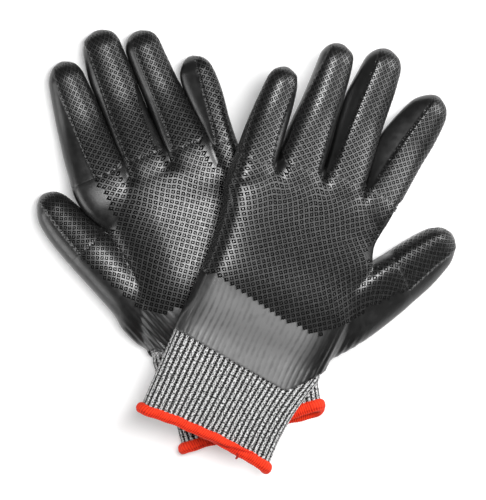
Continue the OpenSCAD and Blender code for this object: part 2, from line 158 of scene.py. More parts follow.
# How much thinner a digit gets toward its tip and toward the heel of the hand, as shares
DIGIT_TAPER = 0.18
HEEL_TAPER = 0.38
HEEL_RUN = (30, 66)
# Fingers are thicker at the root, where they pass into the palm: up to what height, and from where to where
ROOT_TOP = 25.0
SWELL_RUN = (-8, 44)
# The left little finger lies level: how much thinner it gets, and where its thicker root ends
LEVEL = {("left", "little"): (0.0, 80)}
# Some digits lie rolled: how steeply their palm side falls toward the thumb side, below 0 toward the other
# side, and from where to where across them. The roll sets in along the root
ROLL = {
    ("left", "little"): (0.3, 2, EDGE),
    ("right", "thumb"): (0.3, -EDGE, EDGE),
    ("right", "middle"): (-0.4, -EDGE, -8),
    ("right", "index"): (-0.35, -EDGE, -6),
}
ROLL_RUN = {"finger": (0, 20), "thumb": (-60, -10)}
# A finger's root ends inside the palm, some of them with their palm side this much lower
ROOT_SINK = {"left": {"index": 8}, "right": {"index": 3, "middle": 3, "ring": 3, "little": 3}}
ROOT_DEPTH = -17
DOME = {"index": 11, "middle": 11, "ring": 11, "little": 10, "thumb": 12}
FLOOR_GAP = 0.4
# A bend's axis lies this far above the palm side of its digit
AXIS_RISE = 0.4

# Embossed grip on each digit: [distance from the root, little-finger side limit, thumb side limit]; at EDGE
# the grip has no limit on that side
GRIP_SPAN = {
    "left": {
        "index": [
            (-8, -EDGE, 3.4), (-5, -16, 3.4), (4, -EDGE, 3.7), (20, -EDGE, 4.5), (60, -EDGE, 4.5),
            (77, -EDGE, 3),
        ],
        "middle": [
            (-9, -EDGE, EDGE), (-6, -EDGE, 11.5), (-3, -EDGE, 10), (0, -13.5, 9.5), (10, -11.5, 9),
            (28, -11.5, 9), (45, -13.5, 8.8), (55, -EDGE, 8.5), (85, -EDGE, 8),
        ],
        "ring": [
            (-6, -EDGE, EDGE), (-3, -EDGE, 9.2), (5, -EDGE, 7), (20, -EDGE, 5.6), (60, -EDGE, 5.4),
            (79, -EDGE, 4),
        ],
        "little": [
            (-11, -EDGE, EDGE), (-8, -EDGE, 8.6), (0, -EDGE, 7), (20, -EDGE, 4.2), (40, -EDGE, 2.5),
            (59, -EDGE, 0.5),
        ],
        "thumb": [(0, -EDGE, 8.5), (20, -EDGE, 7), (46, -EDGE, 4)],
    },
    "right": {
        "index": [
            (-3, -EDGE, EDGE), (0, -15.5, EDGE), (4, -13.5, EDGE), (10, -12, EDGE), (16, -11.4, EDGE),
            (40, -9, EDGE), (60, -6.5, EDGE), (74, -5, EDGE),
        ],
        "middle": [
            (-1, -EDGE, EDGE), (2.5, -15.5, EDGE), (6, -13, EDGE), (10, -11.6, EDGE), (20, -10.6, EDGE),
            (40, -9.6, EDGE), (86, -8, EDGE),
        ],
        "ring": [
            (-3, -EDGE, EDGE), (0, -19, EDGE), (2, -18.4, EDGE), (5, -17.6, 10.2), (8, -17, 8.8),
            (20, -15.2, 8.6), (40, -13, 8.6), (60, -11.5, 8.6), (80, -9, 8.6),
        ],
        "little": [
            (0, -EDGE, EDGE), (3, -EDGE, 7.5), (6, -EDGE, 5.5), (20, -EDGE, 4.4), (35, -EDGE, 5),
            (50, -EDGE, 6.5), (62, -EDGE, 6),
        ],
        "thumb": [(0, -EDGE, 8), (8, -EDGE, 6.5), (26, -EDGE, 3.4), (46, -EDGE, 2)],
    },
}
GRIP_PITCH = 2.95
GRIP_DEPTH = 0.75
GRIP_LIFT = 0.12
GROOVE_NARROW = 0.018
# Flanks of the ridges and of the studs between them, in pitches from a ridge's middle, and the studs' height
RIDGE_FLANK = (0.13, 0.24)
STUD_FLANK = (0.25, 0.37)
STUD_HEIGHT = 0.9
# The pattern is finer on the digits than on the palm
FINER = 1.12
PITCH_PARTS = 8
ROOT_TWO = math.sqrt(2)
# A digit's rows and columns stand so that its diagonals run along the ridges
TUBE_STEP = GRIP_PITCH / ROOT_TWO / (PITCH_PARTS / 2)
SHEET_STEP = GRIP_PITCH / PITCH_PARTS
# On the palm the pattern lies turned toward the thumb, against its lie on the digits
PALM_TURN = {"left": math.radians(10), "right": math.radians(12.5)}

# Seams: how far past its root a digit shows, and how far and how deep its skin runs back inside the hand
SEAM = 4
SEAM_BACK = 3
TUCK = 12
TUCK_DEPTH = 0.5
TUCK_END = 2.2
BEND_HALF = 9
BEND_HALF_THUMB = 8

# Cuff and hem, as in the frame
CUFF_LENGTH = 56
HEM_HEIGHT = 5.6
WRIST_WIDTH = 94
CUFF_WIDTH = 87
WRIST_THICKNESS = 17
CUFF_THICKNESS = 13
WRIST_CENTRE = -1.41
CUFF_RISE = 0.4
CUFF_WALL = 1.6
RIB_PITCH = 3.5
RIB_DEPTH = 0.9
HEM_SHIFT = {"left": 10, "right": -6}
HEM_SLOPE = {"left": 0.075, "right": -0.09}
# Soft lie of the cuffs: wider at the thumb side of the wrist, drawn in halfway, and the hem bowed
WRIST_SPREAD = {"left": 4.0, "right": 0.0}
SPREAD_END = 45
WAIST = {"left": 0.0, "right": 3.5}
HEM_BOW = {"left": 0.0, "right": 3.0}
HEM_RISE = {"left": 0.0, "right": 1.8}
# How far the palm layer of the hem stands above the back layer at the little-finger side
LAYER_SKEW = {"left": 4.6, "right": 0.0}


def smooth_step(low, high, value):
    share = np.clip((value - low) / (high - low), 0, 1)
    return share * share * (3 - 2 * share)


def window(rise, fall, value):
    """1 between a smooth step up and a smooth step down, 0 outside them."""
    return smooth_step(*rise, value) * (1 - smooth_step(*fall, value))


def unit(vectors):
    return vectors / np.maximum(np.linalg.norm(vectors, axis=-1, keepdims=True), 1e-9)


def curve(stations, at):
    """Smooth curve through rows of [place, value, ...], held at its ends."""
    table = np.array(stations, float)
    knots, values = table[:, 0], table[:, 1:]
    slopes = np.gradient(values, knots, axis=0)
    at = np.clip(np.asarray(at, float), knots[0], knots[-1])
    index = np.clip(np.searchsorted(knots, at) - 1, 0, len(knots) - 2)
    width = (knots[index + 1] - knots[index])[..., None]
    share = (at - knots[index])[..., None] / width
    square, cube = share**2, share**3
    return (
        values[index] * (2 * cube - 3 * square + 1)
        + slopes[index] * width * (cube - 2 * square + share)
        + values[index + 1] * (3 * square - 2 * cube)
        + slopes[index + 1] * width * (cube - square)
    )


def turn_z(angle):
    c, s = math.cos(angle), math.sin(angle)
    return np.array([[c, -s, 0], [s, c, 0], [0, 0, 1]])


def turn_y(angle):
    c, s = math.cos(angle), math.sin(angle)
    return np.array([[c, 0, s], [0, 1, 0], [-s, 0, c]])


# Turn and shift of each glove; the left one is a mirrored right one
MIRROR = np.diag([-1, 1, 1])
LAY = {
    "left": (turn_z(LEFT_TURN) @ MIRROR, turn_z(LEFT_TURN) @ np.array([0, -PALM_MIDDLE, 0])),
    "right": (turn_z(RIGHT_TURN) @ turn_y(RIGHT_ROLL), RIGHT_WRIST),
}


def place(side, points):
    """Points of a glove's own frame, in the shared frame and in metres."""
    turn, shift = LAY[side]
    return (np.asarray(points, float) @ turn.T + shift) * MM


def unplace(side, points):
    turn, shift = LAY[side]
    return (np.asarray(points, float) / MM - shift) @ np.linalg.inv(turn).T


def make_mesh(name, points, faces):
    """Mesh from points and a list of face arrays, each with one row of corners per face."""
    mesh = bpy.data.meshes.new(name)
    corners = np.concatenate([f.ravel() for f in faces]).astype(np.int32)
    sizes = np.concatenate([np.full(len(f), f.shape[1]) for f in faces])
    starts = np.concatenate([[0], np.cumsum(sizes)[:-1]]).astype(np.int32)
    mesh.vertices.add(len(points))
    mesh.vertices.foreach_set("co", np.asarray(points, np.float32).ravel())
    mesh.loops.add(len(corners))
    mesh.loops.foreach_set("vertex_index", corners)
    mesh.polygons.add(len(sizes))
    mesh.polygons.foreach_set("loop_start", starts)
    mesh.polygons.foreach_set("use_smooth", np.ones(len(sizes), bool))
    mesh.update(calc_edges=True)
    return mesh


def show(name, mesh, material):
    """A new object in the scene with a mesh and its material."""
    mesh.materials.append(material)
    made = bpy.data.objects.new(name, mesh)
    bpy.context.scene.collection.objects.link(made)
    return made


CRISP = math.radians(34)


def add_piece(side, part, points, faces, finish, values=None, slot=None, rides=True, crisp=False):
    """A piece of a glove in place of its node, with its finish; it rides on the hand or is left unattached.
    """
    name = f"{side}_{part}"
    if side == "left":
        faces = [f[:, ::-1] for f in faces]
    mesh = make_mesh(name, place(side, points.reshape(-1, 3)), faces)
    for key, value in (values or {}).items():
        data = np.asarray(value, np.float32).ravel()
        mesh.attributes.new(key, "FLOAT", "POINT").data.foreach_set("value", data)
    if crisp:
        mesh.set_sharp_from_angle(angle=CRISP)
    piece = show(name, mesh, MATERIAL[finish])
    if rides:
        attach(piece, f"{side}_hand")
    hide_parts(name)
    return piece


def grid_faces(rows, columns):
    """Quads of a grid of points, each row closed on itself."""
    column = np.arange(columns)
    row = np.arange(rows - 1)[:, None] * columns
    following = (column + 1) % columns
    quads = [row + column, row + following, row + columns + following, row + columns + column]
    return np.stack(quads, -1).reshape(-1, 4)


def cap_faces(first, columns, pole):
    """Triangles from a closed row of points, by the number of its first one, to a pole."""
    row = first + np.arange(columns)
    return np.stack([row, np.roll(row, -1), np.full(columns, pole)], -1)


def split_faces(quads, height):
    """Triangles of quads, each split along its more level diagonal."""
    h = height.ravel()[quads]
    first = np.abs(h[:, 0] - h[:, 2]) <= np.abs(h[:, 1] - h[:, 3])
    one = np.where(first[:, None], quads[:, [0, 1, 2]], quads[:, [0, 1, 3]])
    two = np.where(first[:, None], quads[:, [0, 2, 3]], quads[:, [1, 2, 3]])
    return np.concatenate([one, two])


def used_points(quads):
    """Numbers of the points that quads use, and the quads with those points numbered anew."""
    used, corners = np.unique(quads, return_inverse=True)
    return used, corners.reshape(-1, 4)


def grid_frame(points):
    """Unit directions along, round and out of a grid of points in closed rows."""
    along = np.gradient(points, axis=0)
    round_it = np.roll(points, -1, 1) - np.roll(points, 1, 1)
    return unit(along), unit(round_it), unit(np.cross(round_it, along))


def mesh_normals(points, quads):
    corner = points[quads]
    face = np.cross(corner[:, 2] - corner[:, 0], corner[:, 3] - corner[:, 1])
    normals = np.zeros_like(points)
    for k in range(4):
        np.add.at(normals, quads[:, k], face)
    return unit(normals)


def ring_points(half_width, half_height, power, share):
    """Points round a rounded rectangle, by their share of the way round from the top toward the thumb."""
    angle = np.linspace(-np.pi, np.pi, RING_SAMPLES)
    unit_x = np.sign(np.sin(angle)) * np.abs(np.sin(angle)) ** (2 / power)
    unit_z = np.sign(np.cos(angle)) * np.abs(np.cos(angle)) ** (2 / power)
    x, z = half_width * unit_x, half_height * unit_z
    walk = np.concatenate([[0], np.cumsum(np.hypot(np.diff(x), np.diff(z)))])
    place_on = (walk - walk[RING_SAMPLES // 2]) / walk[-1]
    return np.interp(share, place_on, x), np.interp(share, place_on, z), walk[-1]


def lattice(u, v):
    """Places across the two families of ridges, which run at 45 degrees, in pitches."""
    return (u + v) / ROOT_TWO / GRIP_PITCH, (u - v) / ROOT_TWO / GRIP_PITCH


def groove_shift(u, v):
    """How far pattern points move, so that the grooves between ridges and studs get narrow."""
    p, q = lattice(u, v)
    dp, dq = np.sin(4 * np.pi * p), np.sin(4 * np.pi * q)
    scale = GROOVE_NARROW * GRIP_PITCH / ROOT_TWO
    return scale * (dp + dq), scale * (dp - dq)


def relief(u, v):
    """Height of the grip, 0 to 1: a square lattice of ridges at 45 degrees, with a stud in each cell."""
    p, q = lattice(u, v)
    from_ridge = np.minimum(np.abs(p - np.round(p)), np.abs(q - np.round(q)))
    ridge = 1 - smooth_step(*RIDGE_FLANK, from_ridge)
    stud = STUD_HEIGHT * smooth_step(*STUD_FLANK, from_ridge)
    return np.maximum(ridge, stud)


def turned(angle, x, y):
    c, s = math.cos(angle), math.sin(angle)
    return np.array([c * x - s * y, s * x + c * y])


def palm_pattern(side, x, y):
    """Pattern coordinates of palm points, before they turn toward the digits."""
    return turned(PALM_TURN[side], x, y)


class Digit:
    """A finger or thumb of one glove, with its root, direction and bend read from the frame's joints."""

    def __init__(self, side, name):
        self.side = side
        self.name = name
        joints = {j["name"]: j for j in frame["joints"]}
        root = unplace(side, joints[f"{side}_{name}_root_bend"]["pos_m"])
        bend = unplace(side, joints[f"{side}_{name}_middle_bend"]["pos_m"])
        ahead = (bend - root)[:2]
        self.bend = float(np.linalg.norm(ahead))
        self.bend_half = BEND_HALF_THUMB if name == "thumb" else BEND_HALF
        self.root = root[:2]
        self.ahead = ahead / self.bend
        self.across = np.array([self.ahead[1], -self.ahead[0]])
        self.thickness = root[2] - FLOOR_GAP - AXIS_RISE
        self.swell = 0 if name == "thumb" else ROOT_TOP - FLOOR_GAP - self.thickness
        self.taper, self.swell_end = LEVEL.get((side, name), (DIGIT_TAPER, SWELL_RUN[1]))
        self.plain_power = FLATTER.get((side, name), DIGIT_POWER)
        self.roll, *self.roll_span = ROLL.get((side, name), (0, 0, 0))
        self.roll_run = ROLL_RUN.get(name, ROLL_RUN["finger"])
        self.stations = OUTLINE[side][name]
        self.length = self.stations[-1][0]
        self.dome = DOME[name]
        self.deep_end = min(self.stations[0][0], ROOT_DEPTH)
        self.sink = ROOT_SINK[side].get(name, 0)
        self.phase = palm_pattern(side, *self.root)

    def spine(self, along):
        """Middle line of the palm side in the glove's frame."""
        return np.array([*(self.root + self.ahead * along), self.thickness])

    def local(self, x, y):
        """Distances along and across the digit of points in the glove's frame."""
        offset = np.stack([x - self.root[0], y - self.root[1]], -1)
        return offset @ self.ahead, offset @ self.across

    def skin_end(self, turn):
        """Run along the skin to where it has turned over the tip by an angle."""
        return self.length - self.dome + turn * self.dome

    def rings(self, run, share, grow=0.0):
        """Points over the skin: a row for each run along it, a column for each share of the way round."""
        grow = np.broadcast_to(grow, run.shape)
        start = self.length - self.dome
        angle = np.clip((run - start) / self.dome, 0, math.pi / 2)
        along = np.where(run < start, run, start + (self.dome + grow) * np.sin(angle))
        narrow = np.cos(angle)
        edges = curve(self.stations, along)
        heights = self.half_height(along)
        rolled = self.roll * smooth_step(*self.roll_run, along)
        pivot = np.clip(0, *self.roll_span)
        powers = self.power(along)
        points = np.zeros((len(run), len(share), 3))
        sides = np.zeros((len(run), len(share)))
        for i, (low, high) in enumerate(edges):
            half_width = ((high - low) / 2 + grow[i]) * narrow[i]
            x, z, _ = ring_points(half_width, (heights[i] + grow[i]) * narrow[i], powers[i], share)
            sides[i] = (high + low) / 2 + x
            points[i, :, :2] = self.root + self.ahead * along[i] + np.outer(sides[i], self.across)
            lean = rolled[i] * (np.clip(sides[i], *self.roll_span) - pivot)
            points[i, :, 2] = FLOOR_GAP + heights[i] + z - lean * np.clip(z / heights[i], 0, 1)
        return points, sides

    def half_height(self, along):
        """Half the thickness: less toward the tip, the heel and a sunk end, more at a finger's root."""
        to_tip = self.taper * np.maximum(along, 0) / self.length
        to_heel = HEEL_TAPER * smooth_step(*HEEL_RUN, -along)
        swell = self.swell * (1 - smooth_step(SWELL_RUN[0], self.swell_end, along))
        sunk = self.sink * smooth_step(-SWELL_RUN[0], -self.deep_end, -along)
        return (self.thickness * (1 - to_tip - to_heel) + swell - sunk) / 2

    def power(self, along):
        """Squareness of the section, more at a finger's root."""
        if self.name == "thumb":
            return np.full(along.shape, self.plain_power)
        return ROOT_POWER + (self.plain_power - ROOT_POWER) * smooth_step(*SWELL_RUN, along)

    def girth(self):
        at_bend = np.array([self.bend])
        low, high = curve(self.stations, at_bend)[0]
        return ring_points((high - low) / 2, self.half_height(at_bend)[0], DIGIT_POWER, np.zeros(1))[2]


def loft_part(rings):
    """Closed solid through a grid of rings, as points and faces."""
    rows, columns = rings.shape[:2]
    points = np.concatenate([rings.reshape(-1, 3), rings[0].mean(0)[None], rings[-1].mean(0)[None]])
    low_cap = cap_faces(0, columns, rows * columns)[:, [1, 0, 2]]
    high_cap = cap_faces((rows - 1) * columns, columns, rows * columns + 1)
    return points, [grid_faces(rows, columns), np.concatenate([low_cap, high_cap])]


def oval_points(half_width, half_height, share):
    """Points and outward directions round a flattened oval, by the share of its edge from the top middle."""
    flat = half_width - half_height
    bend = math.pi * half_height
    corners = np.cumsum([0, flat, bend, 2 * flat, bend, flat])
    walk = (np.asarray(share) % 1) * corners[-1]
    middle = np.interp(walk, corners, [0, flat, flat, -flat, -flat, 0])
    turn = np.interp(walk, corners, np.array([0, 0, 1, 1, 2, 2]) * math.pi)
    out_x, out_z = np.sin(turn), np.cos(turn)
    return middle + half_height * out_x, half_height * out_z, out_x, out_z


def cuff_points(side, below, share, out):
    """Points of the cuff at distances below the wrist, pushed out from its plain oval."""
    out = np.broadcast_to(out, (len(below), len(share)))
    points = np.zeros((len(below), len(share), 3))
    for i, depth in enumerate(below):
        part = depth / CUFF_LENGTH
        half_width = (WRIST_WIDTH + (CUFF_WIDTH - WRIST_WIDTH) * part) / 2
        half_height = (WRIST_THICKNESS + (CUFF_THICKNESS - WRIST_THICKNESS) * part) / 2
        x, z, out_x, out_z = oval_points(half_width, half_height, share)
        to_side = x / half_width
        lean = max(depth, 0) / (CUFF_LENGTH + HEM_HEIGHT)
        drawn_in = WAIST[side] * math.sin(math.pi * lean)
        spread = WRIST_SPREAD[side] * smooth_step(SPREAD_END, 0, depth) - drawn_in
        bow = HEM_BOW[side] * (1 - to_side**2) * lean**2 + HEM_RISE[side] * lean**2
        skew = LAYER_SKEW[side] * z / (2 * half_height) * np.clip(-to_side, 0, 1) * lean**2
        widened = spread * np.clip(to_side, 0, 1)
        points[i, :, 0] = WRIST_CENTRE + HEM_SHIFT[side] * lean + x + out_x * out[i] + widened
        points[i, :, 1] = x * HEM_SLOPE[side] * lean - depth + bow + skew
        points[i, :, 2] = CUFF_RISE + half_height + z + out_z * out[i]
    return points


def cuff_girth():
    half_width, half_height = WRIST_WIDTH / 2, WRIST_THICKNESS / 2
    return 4 * (half_width - half_height) + 2 * math.pi * half_height


# Rubber band below the wrist: its start, how far it lies over the cuff, and where it passes into the palm
BAND_START = -26
BAND_OVER_CUFF = 0.9
BAND_TO_PALM = (-2, 18)


def palm_rings(side):
    """Rings of the palm, which pass into the cuff's oval below the wrist."""
    rows = np.arange(BAND_START, PALM[side][-1][0], PALM_ROW_STEP)
    share = np.linspace(-0.5, 0.5, PALM_COLUMNS, endpoint=False)
    band = cuff_points(side, -rows, share, BAND_OVER_CUFF)
    on_palm = smooth_step(*BAND_TO_PALM, rows)
    heel_power, knuckle_power = PALM_POWER[side]
    powers = heel_power + (knuckle_power - heel_power) * smooth_step(*SQUARER, rows)
    slopes = PALM_SLOPE[side] * (1 - smooth_step(*SLOPE_END, rows))
    up_hollow = (rows - HOLLOW_AT[1]) / HOLLOW_SIZE[1]
    rings = []
    for i, (low, high, thickness) in enumerate(curve(PALM[side], rows)):
        x, z, _ = ring_points((high - low) / 2, thickness / 2 + BACK_FLAT, powers[i], share)
        x = x + (high + low) / 2
        part_up = max(rows[i], 0) / KNUCKLE_REACH
        bow = KNUCKLE_BOW[side] * ((x - KNUCKLE_CROWN) / KNUCKLE_HALF) ** 2 * part_up**3
        dip = np.exp(-(((x - HOLLOW_AT[0]) / HOLLOW_SIZE[0]) ** 2) - up_hollow[i] ** 2)
        z = z - HOLLOW_DEPTH[side] * dip * smooth_step(*HOLLOW_RISE, z)
        z = z + slopes[i] * np.minimum(x - SLOPE_FROM, 0) * smooth_step(*SLOPE_RISE, z)
        palm = np.stack([x, rows[i] - bow, thickness / 2 + z], -1)
        ring = band[i] + (palm - band[i]) * on_palm[i]
        ring[:, 2] = np.maximum(ring[:, 2], 0)
        rings.append(ring)
    return np.array(rings)


# Root of a digit inside the hand, up to its seam
STUB_ROWS = 14
STUB_COLUMNS = 64
# Past the seam the hand's skin closes under the digit: [distance past the seam, how far it stands out]
STUB_END = [(0, 0.15), (2, -0.15), (4, -0.6), (6.5, -1.4)]
# Easing draws a round skin in a little, which the finger roots make up for
EASE_SHRINK = 0.28
EASE_ROUNDS = 36
EASE_FACTOR = 0.5
VOXEL = 0.8


def stub_rings(digit, closing):
    """Rings of a digit's root inside the hand, drawn in past the seam if the hand's skin closes there."""
    share = np.linspace(-0.5, 0.5, STUB_COLUMNS, endpoint=False)
    past, stand_out = np.array(STUB_END).T
    run = np.concatenate([np.linspace(digit.deep_end, SEAM - SEAM_BACK, STUB_ROWS), SEAM + past])
    grow = np.zeros(len(run))
    if closing:
        grow[:] = EASE_SHRINK
        grow[-len(past):] = stand_out
    return digit.rings(run, share, grow)[0]


def joined_skin(parts):
    """Points and quads of the union of closed solids, with its creases eased."""
    points, faces, offset = [], [], 0
    for part_points, part_faces in parts:
        points.append(part_points)
        faces += [f + offset for f in part_faces]
        offset += len(part_points)
    body = bpy.data.objects.new("union", make_mesh("union", np.concatenate(points), faces))
    bpy.context.scene.collection.objects.link(body)
    union = body.modifiers.new("union", "REMESH")
    union.mode = "VOXEL"
    union.voxel_size = VOXEL
    ease = body.modifiers.new("ease", "SMOOTH")
    ease.factor = EASE_FACTOR
    ease.iterations = EASE_ROUNDS
    shown = body.evaluated_get(bpy.context.evaluated_depsgraph_get()).to_mesh()
    found = np.zeros(len(shown.vertices) * 3, np.float32)
    shown.vertices.foreach_get("co", found)
    corners = np.zeros(len(shown.loops), np.int32)
    shown.loops.foreach_get("vertex_index", corners)
    bpy.data.objects.remove(body)
    return found.reshape(-1, 3).astype(float), corners.reshape(-1, 4)


def hand_skin(side, digits):
    """The hand's smooth skin, with palm, finger roots and thumb heel in one."""
    stubs = [loft_part(stub_rings(digit, True)) for digit in digits.values()]
    return joined_skin([loft_part(palm_rings(side)), *stubs])


# Border of the rubber on the palm side: [across, along]; on the back it is a plain line
COAT_BORDER = [
    (-60, -1.5), (-46, -3), (-20, -7), (10, -11.4), (24, -13.6), (27, -13.2), (36, -4.5), (44.5, 5), (60, 8),
]
BORDER_SCALLOP = 0.3
BACK_BORDER = 1.5
# Heights between which the border passes from the back's to the palm's
BORDER_TURN = (4, 11)
# The rubber's lip turns in at the border, which lies below this distance from the wrist
LIP = 0.9
LIP_BELOW = 14
# Ribs of the knit that show through the rubber at the wrist: how high they stand, how far they slant on the
# thumb side and from where to where across, how they wander, and where they fade up the hand
RIB_SHOW = 0.22
RIB_SLANT = {"left": 0.42, "right": 0.05}
SLANT_RUN = (8, 34)
RIB_WANDER = 0.35
WANDER_WAVE = (0.09, 0.11)
RIB_FADE = (12, 42)
# In the middle they are fainter by this share: from where to where across
RIB_FAINT = 0.62
FAINT_RISE = (-36, -10)
FAINT_FALL = (12, 28)
# Where the rubber is thinner over the knit: from where to where across, up the hand and by height
# Toward the little-finger edge the band passes into the coat's black: painted shade where it curves away
THIN_RISE_FROM_EDGE_SHADE = (-50, -34)
THIN_FALL = (20, 38)
THIN_FADE = (24, 44)
THIN_TURN = (5, 12)


def coat_border(points):
    """Where the rubber ends along the glove, at each point across it."""
    palm = np.interp(points[:, 0], *np.array(COAT_BORDER).T)
    palm = palm + BORDER_SCALLOP * np.cos(points[:, 0] * 2 * np.pi / RIB_PITCH)
    return BACK_BORDER + (palm - BACK_BORDER) * smooth_step(*BORDER_TURN, points[:, 2])


def rib_lines(side, points):
    """Knit ribs from -1 to 1, thinner rubber with painted edge shade, and how clearly the ribs show."""
    x, y, z = points.T
    slant = RIB_SLANT[side] * y * smooth_step(*SLANT_RUN, x)
    wander = RIB_WANDER * np.sin(WANDER_WAVE[1] * y + WANDER_WAVE[0] * x)
    ribs = np.cos((x - slant + wander) * 2 * np.pi / RIB_PITCH)
    # Toward the little-finger edge this falls to 0 as painted shade, where the band curves away
    thin_and_edge_shade = window(THIN_RISE_FROM_EDGE_SHADE, THIN_FALL, x) * (1 - smooth_step(*THIN_FADE, y)) * smooth_step(*THIN_TURN, z)
    near = (1 - smooth_step(*RIB_FADE, y)) * (1 - RIB_FAINT * window(FAINT_RISE, FAINT_FALL, x))
    return ribs, thin_and_edge_shade, near


def build_hand_coat(side, points, quads):
    """Smooth rubber over the hand, cut off at its border, with the lip turned in there."""
    normals = mesh_normals(points, quads)
    ribs, thin_and_edge_shade, near = rib_lines(side, points)
    shaped = points + normals * (RIB_SHOW * near * ribs)[:, None]
    border = coat_border(points)
    used, quads = used_points(quads[(points[quads][:, :, 1] > border[quads]).all(1)])
    points, shaped, normals, border = points[used], shaped[used], normals[used], border[used]
    ribs, thin_and_edge_shade = (ribs * near)[used], thin_and_edge_shade[used]
    edges = np.concatenate([quads[:, [k, (k + 1) % 4]] for k in range(4)])
    _, first, counts = np.unique(np.sort(edges, 1), axis=0, return_index=True, return_counts=True)
    rim = edges[first[counts == 1]]
    low_rim = rim[(points[rim][:, :, 1] < LIP_BELOW).all(1)]
    on_rim = np.unique(low_rim)
    shaped[on_rim, 1] = border[on_rim]
    inner = {v: len(points) + i for i, v in enumerate(on_rim)}
    lip = shaped[on_rim] - normals[on_rim] * LIP
    lip_faces = np.array([[b, a, inner[a], inner[b]] for a, b in low_rim])
    values = {
        "rib": np.append(0.5 + 0.5 * ribs, np.full(len(lip), 0.5)),
        "thin_and_edge_shade": np.append(thin_and_edge_shade, thin_and_edge_shade[on_rim]),
    }
    add_piece(side, "hand_coat", np.concatenate([shaped, lip]), [quads, lip_faces], "rubber_coat", values)


# Knit liner: how far inside the hand's skin it lies, and where it starts
LINER_INSET = 1.9
LINER_START = -1


def build_hand_liner(side, points, quads):
    """Knit liner inside the hand."""
    inner = points - mesh_normals(points, quads) * LINER_INSET
    used, quads = used_points(quads[(points[quads][:, :, 1] > LINER_START).all(1)])
    add_piece(side, "hand_liner", inner[used], [quads], "knit_liner")


# Palm grip: its outline in the glove's frame, from the little-finger side of the heel round by the thumb
GRIP_OUTLINE = {
    "left": [
        (-58, 36), (-42, 34), (-15, 29), (2, 26.5), (22.5, 23.4), (34, 23), (43, 29), (51, 43), (58, 56),
        (66, 71), (74, 90), (56, 92), (41, 78), (39.5, 86), (40, 100), (42, 112), (50, 130), (-60, 130),
    ],
    "right": [
        (-58, 38), (-42, 35), (-15, 29), (2, 26.5), (22.5, 23.4), (32, 25), (44, 38), (55, 50.4),
        (67, 63.2), (75, 71.8), (82, 90), (58, 85), (44, 75), (38, 78), (39.5, 83), (41, 90), (43.5, 99),
        (46.5, 108), (60, 130), (-60, 130),
    ],
}
# Reach of the sheet's grid across the two families of ridges, and the part of the pattern that the palm has
SHEET_REACH = [(-71.5, 188.5), (-169, 97.5)]
PATTERN_U = (-82, 92)
PATTERN_V = (5, 130)
# A distance that no point of the gloves has
FAR_OFF = 1e3
# How the pattern passes into that of the digits: from where to where along and across them
FINGER_REACH = 10
FINGER_RUN = (-30, 2)
THUMB_RUN = (-46, 2)
THUMB_ACROSS = (-44, -4)
# Newton steps from the pattern to the palm: their count, longest step and least scale, a small distance, and
# the largest miss
STEP_COUNT = 14
LONGEST_STEP = 6
LEAST_SCALE = 0.2
TINY = 0.01
LARGEST_MISS = 0.1
# Rays on to the palm turn in round the little-finger edge: from where, over what distance and how far
EDGE_START = 36
EDGE_ROUND = 13
EDGE_LEVEL = 11
EDGE_TURN = 1.75
CAST_FROM = 60
STEEPEST = 0.4
# Past a digit's seam the sheet dives under the digit's skin: over what distance, and how deep
SEAM_OVERLAP = 2.5
SEAM_DIVE = 0.9
SEAM_MARGIN = 1
# Last rings of a digit's root, on which the sheet lies as on the digit; before them it lies on the hand
SEAM_RINGS = 6
# The sheet's rim lies below the skin
RIM_LIFT = -0.15
RIM_RELIEF = 0.2


def edge_rays(x, y):
    """Starts and directions of rays on to the palm: down, and turning in round the little-finger edge."""
    turn = np.clip((-EDGE_START - x) / EDGE_ROUND, 0, EDGE_TURN)
    out = np.stack([-np.sin(turn), np.zeros_like(x), np.cos(turn)], -1)
    foot = np.stack([np.maximum(x, -EDGE_START), y, np.full_like(x, EDGE_LEVEL)], -1)
    return foot + out * CAST_FROM, -out


def cast_on(skins, x, y):
    """First points, with their normals, where the rays meet the skins, and which rays meet one squarely."""
    points, normals = np.zeros((len(x), 3)), np.zeros((len(x), 3))
    reach = np.full(len(x), 2.0 * CAST_FROM)
    starts, directions = edge_rays(x, y)
    for skin in skins:
        for i, (start, direction) in enumerate(zip(starts, directions)):
            place_on, normal, _, distance = skin.ray_cast(start, direction)
            if place_on is not None and distance < reach[i]:
                points[i], normals[i], reach[i] = place_on, normal, distance
    hit = (reach < CAST_FROM + EDGE_LEVEL) & ((normals * -directions).sum(1) > STEEPEST)
    return points, normals, hit


def grip_coordinates(side, x, y, digits):
    """Pattern coordinates of palm points: turned on the palm, passing into each digit's own at its root."""
    u, v = palm_pattern(side, x, y)
    shift_u, shift_v, total = np.zeros_like(x), np.zeros_like(x), np.full_like(x, 1e-9)
    for name in FINGERS:
        along, across = digits[name].local(x, y)
        near = np.exp(-((across / FINGER_REACH) ** 2))
        weight = near * smooth_step(*FINGER_RUN, along)
        total += near
        shift_u += weight * (digits[name].phase[0] + FINER * across - u)
        shift_v += weight * (digits[name].phase[1] + FINER * along - v)
    thumb = digits["thumb"]
    along, across = thumb.local(x, y)
    weight = smooth_step(*THUMB_RUN, along) * smooth_step(*THUMB_ACROSS, across)
    u = u + shift_u / total + weight * (thumb.phase[0] + FINER * across - u)
    v = v + shift_v / total + weight * (thumb.phase[1] + FINER * along - v)
    return u, v


